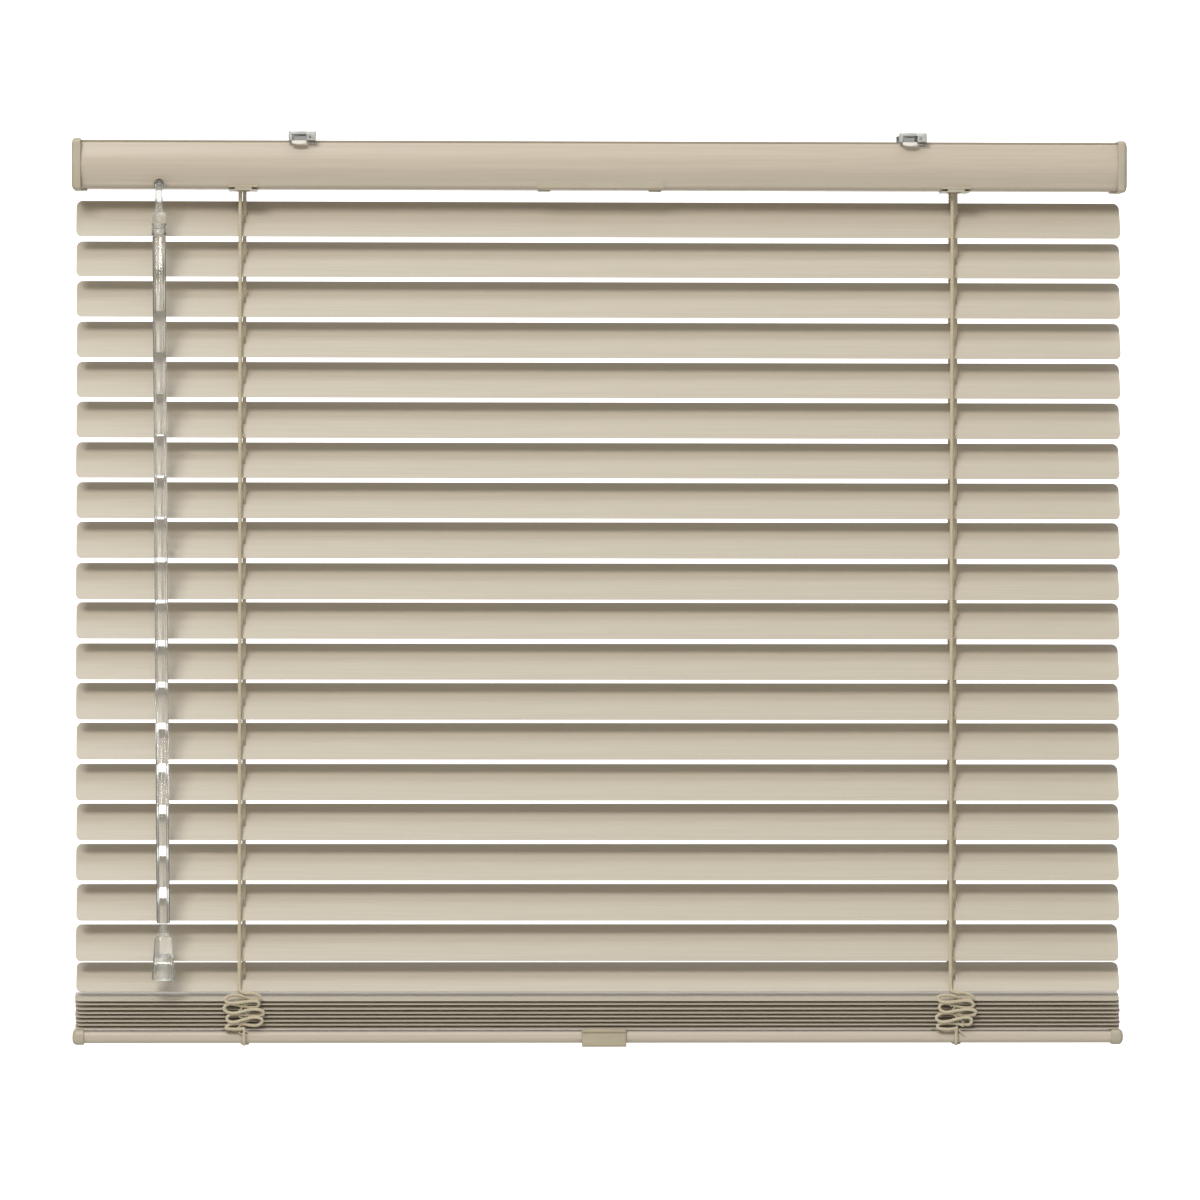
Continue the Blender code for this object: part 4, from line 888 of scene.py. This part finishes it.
def make_lift_cords():
    spool = JOINT_AT["lift_spool_spin"]
    hub = 7.6 * MM
    for suffix, side in SIDES:
        node = f"lift_cord_{suffix}"
        low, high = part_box(node)
        run_z = high.z - CORD_RADIUS
        x = cord_x(side)
        bend = 2.6 * MM
        straight = [(x, CORD_BACK, run_z - bend), (x, CORD_BACK, (run_z + low.z) / 2), (x, CORD_BACK, low.z)]
        hanging = new_object(f"{node}_hanging", rope([straight], CORD_RADIUS, 4, 6.5 * MM, step=0.4 * MM,
                                                    **BRAIDED))
        hang(hanging, LIFT_CORD, node)
        curve = [(x, CORD_BACK, run_z - bend)]
        for angle in (22, 45, 67, 90):
            a = math.radians(angle)
            curve.append((x - side * bend * (1 - math.cos(a)), 0, run_z - bend * (1 - math.sin(a))))
        curve += [(x - side * 8 * MM, 0, run_z), (side * 36 * MM, side * hub, run_z),
                  (spool.x + side * 4 * MM, side * hub, run_z), (spool.x, side * hub, run_z)]
        along = new_object(f"{node}_run", rope([curve], CORD_RADIUS, 4, 6.5 * MM, step=0.5 * MM,
                                               **BRAIDED))
        place(along, LIFT_CORD, "lift_cord", "root", angle=80)
    # the cord wound on the spool
    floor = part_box("lift_spool")[0].z
    wound = []
    for i in range(5 * 24 + 1):
        angle = TURN * i / 24
        x, y = polar(SPOOL_WINDING_RADIUS, angle)
        wound.append((spool.x + x, y, floor + 1.7 * MM + 0.85 * MM * i / 24))
    turns = new_object("spool_winding", rope([wound], 0.55 * MM, 4, 6 * MM, sides=8, step=0.6 * MM,
                                             depth=0.16, braid=True))
    place(turns, LIFT_CORD, "lift_cord", "lift_spool", angle=80)
    for suffix, side in SIDES:
        coils = []
        for half in (-1, 1):
            loop = []
            for i in range(int(1.5 * 24) + 1):
                angle = TURN * i / 24 + (math.pi if half > 0 else 0)
                y, z = polar(DRUM_WINDING_RADIUS, angle)
                loop.append((side * LADDER_X + half * (0.7 * MM + 0.9 * MM * i / 24), y, ROD_Z + z))
            coils.append(loop)
        winding = new_object(f"ladder_winding_{suffix}", rope(coils, 0.45 * MM, 2, 2.6 * MM, sides=8,
                                                             step=0.5 * MM, depth=0.3))
        place(winding, STRING, "ladder_string", "tilt_rod", angle=80)


# ---------------------------------------------------------------- wand

def fluted(radius):
    """A hexagon with rounded ridges and slightly hollow sides, one side facing front."""
    points = []
    for i in range(72):
        share = (i % 12) / 12
        reach = radius * math.cos(math.pi / 6) / math.cos((share - 0.5) * math.pi / 3)
        reach = min(reach, radius * 0.975) - 0.3 * MM * math.sin(math.pi * share) ** 2
        angle = math.pi / 3 * (i / 12)
        points.append(polar(reach, angle))
    return points


def make_wand():
    half = 2.6 * MM
    pin_z = PIN.z - BALL.z
    swing = 2.3 * MM
    stem = 2.15 * MM
    profile = [(1.75 * MM, 0.7 * MM), (2.05 * MM, 0.95 * MM), (half * 0.92, 0.7 * MM)]
    for i in range(7):
        angle = math.radians(80 + 44 * i / 6)
        profile.append((half * 0.95 * math.sin(angle), half * math.cos(angle)))
    profile += [(stem * 0.97, -half), (stem * 0.94, -half - 1.2 * MM), (stem, -half - 2.6 * MM),
                (stem, pin_z + swing + 1.1 * MM), (stem * 0.85, pin_z + swing + 0.3 * MM)]
    hook = shape("wand_hook_clear", lathe(profile, 32))
    round_off = swing - 0.4 * MM
    high = pin_z + swing + 1.2 * MM
    tongue = [(round_off, high)] + arc((0, pin_z), round_off, 0, -180, 14) + [(-round_off, high)]
    join(hook, prism_y(tongue, -0.8 * MM, 0.8 * MM))
    cut(hook, prism_y([(a, pin_z + b) for a, b in circle(0.9 * MM, 20)], -3 * MM, 3 * MM))
    hollow = 1.7 * MM
    cut(hook, lathe([(hollow * math.sin(a), hollow * math.cos(a))
                     for a in (math.radians(8 + 164 * i / 12) for i in range(13))], 24))
    slot = 1.2 * MM
    cut(hook, box((-slot, slot), (0.0, half + 1 * MM), (-hollow * 0.9, half + 1 * MM)))
    hook.matrix_world = Matrix.Translation(BALL)
    bevel(hook, 0.12 * MM, 2, 40)
    place(hook, HOOK_CLEAR, "clear_plastic", "wand_hook", "wand_hook")

    wand_place = Matrix.Translation(PIN) @ Matrix.Rotation(-WAND_LEAN, 4, "Y")
    big = 4.2 * MM
    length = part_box("wand_connector")[1].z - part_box("wand_connector")[0].z
    end = swing - length
    shoulder = -swing - 0.3 * MM
    groove = end + 5 * MM
    profile = [(1.2 * MM, shoulder), (big * 0.66, shoulder - 0.05 * MM), (big * 0.86, shoulder - 0.6 * MM),
               (big * 0.97, shoulder - 1.5 * MM), (big, shoulder - 2.6 * MM), (big, groove + 0.6 * MM),
               (big * 0.9, groove + 0.35 * MM), (big * 0.9, groove - 0.35 * MM), (big, groove - 0.6 * MM),
               (big, end + 0.4 * MM), (big * 0.93, end)]
    connector = shape("wand_connector_clear", lathe(profile, 48))
    root = shoulder - 1 * MM
    plate = [(swing, root)] + arc((0, 0), swing, 0, 180, 16) + [(-swing, root)]
    near, far = 1.1 * MM, 2.3 * MM
    for side in (-1, 1):
        join(connector, prism_y(plate, *sorted((side * near, side * far))))
    join(connector, prism_y(circle(0.7 * MM, 20), -near - 0.6 * MM, near + 0.6 * MM))
    # the socket that takes the wand's end
    cut(connector, prism_z(circle(3.0 * MM, 32), end - 1 * MM, end + 7 * MM))
    connector.matrix_world = wand_place
    bevel(connector, 0.1 * MM, 2, 45)
    place(connector, CLEAR, "clear_plastic", "wand_connector", "wand_connector")

    low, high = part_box("wand")
    top = end - 0.3 * MM
    length = (high.z - low.z) / math.cos(WAND_LEAN) - 0.05 * MM
    radius = (high.x - low.x - length * math.sin(WAND_LEAN)) / 2
    wand = new_object("wand_clear", mesh_from(loft([
        [(x, y, z) for x, y in fluted(r)]
        for r, z in ((radius * 0.9, top), (radius, top - 0.5 * MM), (radius, top - length + 0.5 * MM),
                     (radius * 0.9, top - length))])))
    wand.matrix_world = wand_place
    place(wand, CLEAR, "clear_plastic", "wand", "wand", angle=50)

    low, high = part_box("wand_grip")
    top -= length + 0.3 * MM
    grip_length = (high.z - low.z) - 0.2 * MM
    stations = [(3.0, 0.0), (3.0, 5.2), (3.4, 6.4), (5.0, 7.6), (5.5, 9.0), (5.9, 14.0), (6.3, 20.0),
                (6.8, 27.0), (7.2, 30.4), (7.25, 31.2), (7.0, 31.8)]
    scale = grip_length / (31.8 * MM)
    rings = [[(x, y, top - d * MM * scale) for x, y in circle(r * MM, 8, math.radians(22.5))]
             for r, d in stations]
    grip = shape("wand_grip_clear", loft(rings))
    bore = [(4.6, 32.6), (4.6, 31.4), (4.2, 24.0), (3.6, 19.0), (2.6, 17.0)]
    cut(grip, loft([[(x, y, top - d * MM * scale) for x, y in circle(r * MM, 32)] for r, d in bore]))
    grip.matrix_world = wand_place
    bevel(grip, 0.5 * MM, 5, 30)
    place(grip, CLEAR, "clear_plastic", "wand", "wand_grip", angle=5)


# ---------------------------------------------------------------- bottom rail

def make_bottom_rail():
    middle = BOTTOM_MIDDLE
    deep = BOTTOM_HIGH.y
    high = (BOTTOM_HIGH.z - BOTTOM_LOW.z) / 2
    wall = BOTTOM_WALL
    outline = rounded_box(-deep, deep, -high, high, BOTTOM_CORNER, 10)
    rail = shape("bottom_rail_shell", long_prism(outline, BOTTOM_LOW.x, BOTTOM_HIGH.x))
    inner = rounded_box(-deep + wall, deep - wall, -high + wall, high - wall, BOTTOM_CORNER - wall, 8)
    cut(rail, prism_x(inner, BOTTOM_LOW.x - 1 * MM, BOTTOM_HIGH.x + 1 * MM))
    for side in (-1, 1):
        cut(rail, prism_z([(cord_x(side) + a, b) for a, b in circle(2.0 * MM, 24)], 0, 2 * high))
    rail.matrix_world = Matrix.Translation((0, 0, middle.z))
    place(rail, RAIL_ENAMEL, "rail_enamel", "bottom_rail", "bottom_rail")
    for node, side in (("bottom_cap_left", -1), ("bottom_cap_right", 1)):
        low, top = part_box(node)
        end = max(abs(low.x), abs(top.x))
        start = min(abs(low.x), abs(top.x))
        cap = shape(f"{node}_moulded", cap_bmesh(side, start, end, top.y, low.z, top.z,
                                                 BOTTOM_CORNER + 0.6 * MM, BOTTOM_CAP_BOW))
        recess = rounded_box(-deep - 0.1 * MM, deep + 0.1 * MM, BOTTOM_LOW.z - 0.1 * MM,
                             BOTTOM_HIGH.z + 0.1 * MM, BOTTOM_CORNER, 8)
        cut(cap, prism_x(recess, *sorted((side * (start - 1 * MM), side * (end - 1.7 * MM)))))
        place(cap, CREAM_PLASTIC, "cream_plastic", "bottom_rail", node)
    make_handle()


def make_handle():
    """A clip round the bottom rail: a ledge above, a tall face, and a finger lip below."""
    low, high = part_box("bottom_handle")
    front = BOTTOM_HIGH.y + 0.2 * MM
    out = front + 1.2 * MM
    hold = BOTTOM_HIGH.y - 4 * MM
    top = BOTTOM_HIGH.z + 0.2 * MM
    under = BOTTOM_LOW.z - 0.2 * MM
    lip_top = high.z
    tip = -low.y
    base = low.z + 0.9 * MM
    outline = (
        [(-hold, top), (-hold, lip_top - 0.2 * MM), (-hold - 0.2 * MM, lip_top)]
        + [(-out + 0.9 * MM, lip_top)] + arc((-out + 0.7 * MM, lip_top - 0.7 * MM), 0.7 * MM, 90, 180, 5)
        + [(-out, lip_top - 1.8 * MM), (-out + 0.5 * MM, lip_top - 2.0 * MM),
           (-out + 0.5 * MM, lip_top - 2.4 * MM), (-out, lip_top - 2.6 * MM), (-out, under + 1.6 * MM),
           (-out - 0.4 * MM, under + 0.9 * MM), (-tip + 0.4 * MM, under + 0.3 * MM),
           (-tip, under - 0.2 * MM), (-tip, base + 0.4 * MM), (-tip + 0.3 * MM, base),
           (-tip + 1.1 * MM, base), (-out, under - 1.1 * MM), (-hold, under - 1.0 * MM),
           (-hold, under), (-front, under), (-front, top)]
    )
    xs = [low.x + (high.x - low.x) * share for share in (0.0, 0.02, 0.05, 0.5, 0.95, 0.98, 1.0)]
    pulls = (0.5 * MM, 0.15 * MM, 0.0, 0.0, 0.0, 0.15 * MM, 0.5 * MM)
    rings = []
    for x, pull in zip(xs, pulls):
        ring = []
        for y, z in outline:
            ring.append((x, y + (pull if y < -front - 0.3 * MM else 0.0), z))
        rings.append(ring)
    handle = shape("bottom_handle_moulded", loft(rings))
    bevel(handle, 0.16 * MM, 2, 50)
    place(handle, HANDLE_CREAM, "cream_plastic", "bottom_rail", "bottom_handle")


# ---------------------------------------------------------------- spring

def make_spring():
    """The spring drum with its coiled steel strip showing on top."""
    low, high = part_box("spring_drum")
    axis = JOINT_AT["spring_drum_spin"]
    turns, gap = 9, 0.42 * MM
    outline_in, outline_out = [], []
    steps = turns * 40
    for i in range(steps + 1):
        angle = TURN * i / 40
        radius = 5.2 * MM + gap * i / 40
        for line, off in ((outline_in, -STRIP_HALF), (outline_out, STRIP_HALF)):
            x, y = polar(radius + off, angle)
            line.append((axis.x + x, y))
    top, base = high.z - 0.05 * MM, high.z - 5.0 * MM
    verts, faces = [], []
    for (ax, ay), (bx, by) in zip(outline_in, outline_out):
        verts += [(ax, ay, base), (bx, by, base), (bx, by, top), (ax, ay, top)]
    for i in range(steps):
        a, b = 4 * i, 4 * (i + 1)
        for k in range(4):
            n = (k + 1) % 4
            faces.append((a + k, a + n, b + n, b + k))
    faces += [(3, 2, 1, 0), tuple(4 * steps + k for k in range(4))]
    mesh = bpy.data.meshes.new("spring")
    mesh.from_pydata(verts, [], faces)
    spring = shape("spring_strip", bmesh_of(mesh))
    place(spring, SPRING_STEEL, "spring_steel", "spring_drum", "spring_drum")
    gear = []
    teeth, tip, tooth = 22, 11.85 * MM, 1.2 * MM
    for i in range(teeth):
        for share, radius in ((0.0, tip - tooth), (0.25, tip - tooth), (0.42, tip - 0.25 * MM), (0.5, tip),
                              (0.75, tip), (0.83, tip - 0.25 * MM)):
            angle = TURN * (i + share) / teeth
            gear.append(polar(radius, angle))
    hub = shape("spring_hub", prism_z(gear, low.z, low.z + 2 * MM))
    join(hub, lathe([(5.0 * MM, low.z + 1 * MM), (5.0 * MM, high.z - 0.4 * MM),
                     (4.7 * MM, high.z - 0.1 * MM)], 40))
    cut(hub, lathe([(2.3 * MM, low.z - 1 * MM), (2.3 * MM, high.z + 1 * MM)], 32))
    hub.matrix_world = Matrix.Translation((axis.x, 0, 0))
    place(hub, WHITE_PLASTIC, "white_plastic", "spring_drum")


# ---------------------------------------------------------------- CAD nodes that stay

def dress_nodes():
    """Carried-over nodes keep their shape and get a finished material."""
    finishes = {
        "tilt_rod": ROD_STEEL, "ladder_drum_left": WHITE_PLASTIC, "ladder_drum_right": WHITE_PLASTIC,
        "worm_wheel": WHITE_PLASTIC, "worm": HOOK_CLEAR, "tilter_housing": WHITE_PLASTIC,
        "cradle_left": CREAM_PLASTIC, "cradle_right": CREAM_PLASTIC, "motor_tray": CREAM_PLASTIC,
        "lift_spool": WHITE_PLASTIC,
    }
    for node, material in finishes.items():
        obj = NODES[node]
        for slot in obj.material_slots:
            slot.material = material


# ---------------------------------------------------------------- stage, lights and camera

def make_stage():
    """A pale floor well below the blind, and a glowing white wall far behind it."""
    floor, wall, radius = -1.7, 7.0, 0.3
    profile = [(-9.0, floor), (wall - radius, floor)]
    profile += [(wall - radius + radius * math.sin(a), floor + radius * (1 - math.cos(a)))
                for a in (math.pi / 2 * i / 12 for i in range(1, 13))]
    stages = (("studio_floor", profile, 9.0, 0.0), ("studio_wall", [profile[-1], (wall, 3.0)], 9.0, 1.05))
    for name, line, half, glow in stages:
        bm = bmesh.new()
        rows = [[bm.verts.new((x, y, z)) for y, z in line] for x in (-half, half)]
        for i in range(len(line) - 1):
            bm.faces.new((rows[0][i], rows[0][i + 1], rows[1][i + 1], rows[1][i]))
        sweep = new_object(name, mesh_from(bm))
        sweep.data.shade_smooth()
        paper = Nodes(f"{name}_paper", (0.8, 0.8, 0.79), 0.9, emission_strength=glow)
        paper.shader.inputs["Emission Color"].default_value = (1, 1, 1, 1)
        sweep.data.materials.append(paper.material)


def aim(obj, target):
    obj.rotation_euler = (Vector(target) - obj.location).to_track_quat("-Z", "Y").to_euler()


def add_light(name, place_at, target, size, power, color):
    data = bpy.data.lights.new(name, "AREA")
    data.shape = "RECTANGLE"
    data.size, data.size_y = size
    data.energy = power
    data.color = color
    obj = bpy.data.objects.new(name, data)
    bpy.context.scene.collection.objects.link(obj)
    obj.location = place_at
    aim(obj, target)


MIDDLE = (0, 0, -0.26)


def make_lights():
    add_light("key", (-2.2, -5.0, 4.1), MIDDLE, (2.8, 2.0), 288, (1.0, 0.98, 0.95))
    add_light("top", (0.3, -0.9, 2.6), MIDDLE, (2.0, 1.2), 16, (0.97, 1.0, 0.985))
    add_light("front", (0.4, -5.5, -0.1), MIDDLE, (1.6, 1.6), 18, (1.0, 0.985, 0.96))
    world = bpy.data.worlds.new("studio")
    bpy.context.scene.world = world
    world.use_nodes = True
    tree = world.node_tree
    coords = tree.nodes.new("ShaderNodeTexCoord")
    split = tree.nodes.new("ShaderNodeSeparateXYZ")
    ramp = tree.nodes.new("ShaderNodeValToRGB")
    spread = tree.nodes.new("ShaderNodeMapRange")
    spread.inputs["From Min"].default_value = -1.0
    tree.links.new(coords.outputs["Generated"], split.inputs[0])
    tree.links.new(split.outputs["Z"], spread.inputs["Value"])
    tree.links.new(spread.outputs["Result"], ramp.inputs["Fac"])
    ramp.color_ramp.elements[0].position = 0.42
    ramp.color_ramp.elements[0].color = (0.20, 0.19, 0.17, 1)
    ramp.color_ramp.elements[1].position = 0.8
    ramp.color_ramp.elements[1].color = (0.80, 0.81, 0.82, 1)
    background = tree.nodes["Background"]
    tree.links.new(ramp.outputs["Color"], background.inputs["Color"])
    background.inputs["Strength"].default_value = 0.5


def make_camera():
    yaw, pitch, roll = math.radians(-2.061), math.radians(-0.786), math.radians(0.095)
    data = bpy.data.cameras.new("camera")
    data.lens = 263.7
    data.sensor_width = 36.0
    data.clip_end = 50.0
    camera = bpy.data.objects.new("camera", data)
    bpy.context.scene.collection.objects.link(camera)
    forward = Vector((-math.sin(yaw) * math.cos(pitch), math.cos(yaw) * math.cos(pitch), math.sin(pitch)))
    right = Vector((math.cos(yaw), math.sin(yaw), 0))
    up = right.cross(forward)
    turn = Matrix.Rotation(-roll, 3, forward)
    right, up = turn @ right, turn @ up
    basis = Matrix((right, up, -forward)).transposed()
    camera.matrix_world = Matrix.Translation((-0.1792, -5.0, -0.1968)) @ basis.to_4x4()
    bpy.context.scene.camera = camera


make_headrail()
make_headrail_caps()
make_brackets()
make_slats()
make_strings()
make_tails()
make_lift_cords()
make_wand()
make_bottom_rail()
make_spring()
dress_nodes()
make_stage()
make_lights()
make_camera()
bpy.context.scene.view_settings.view_transform = "Standard"
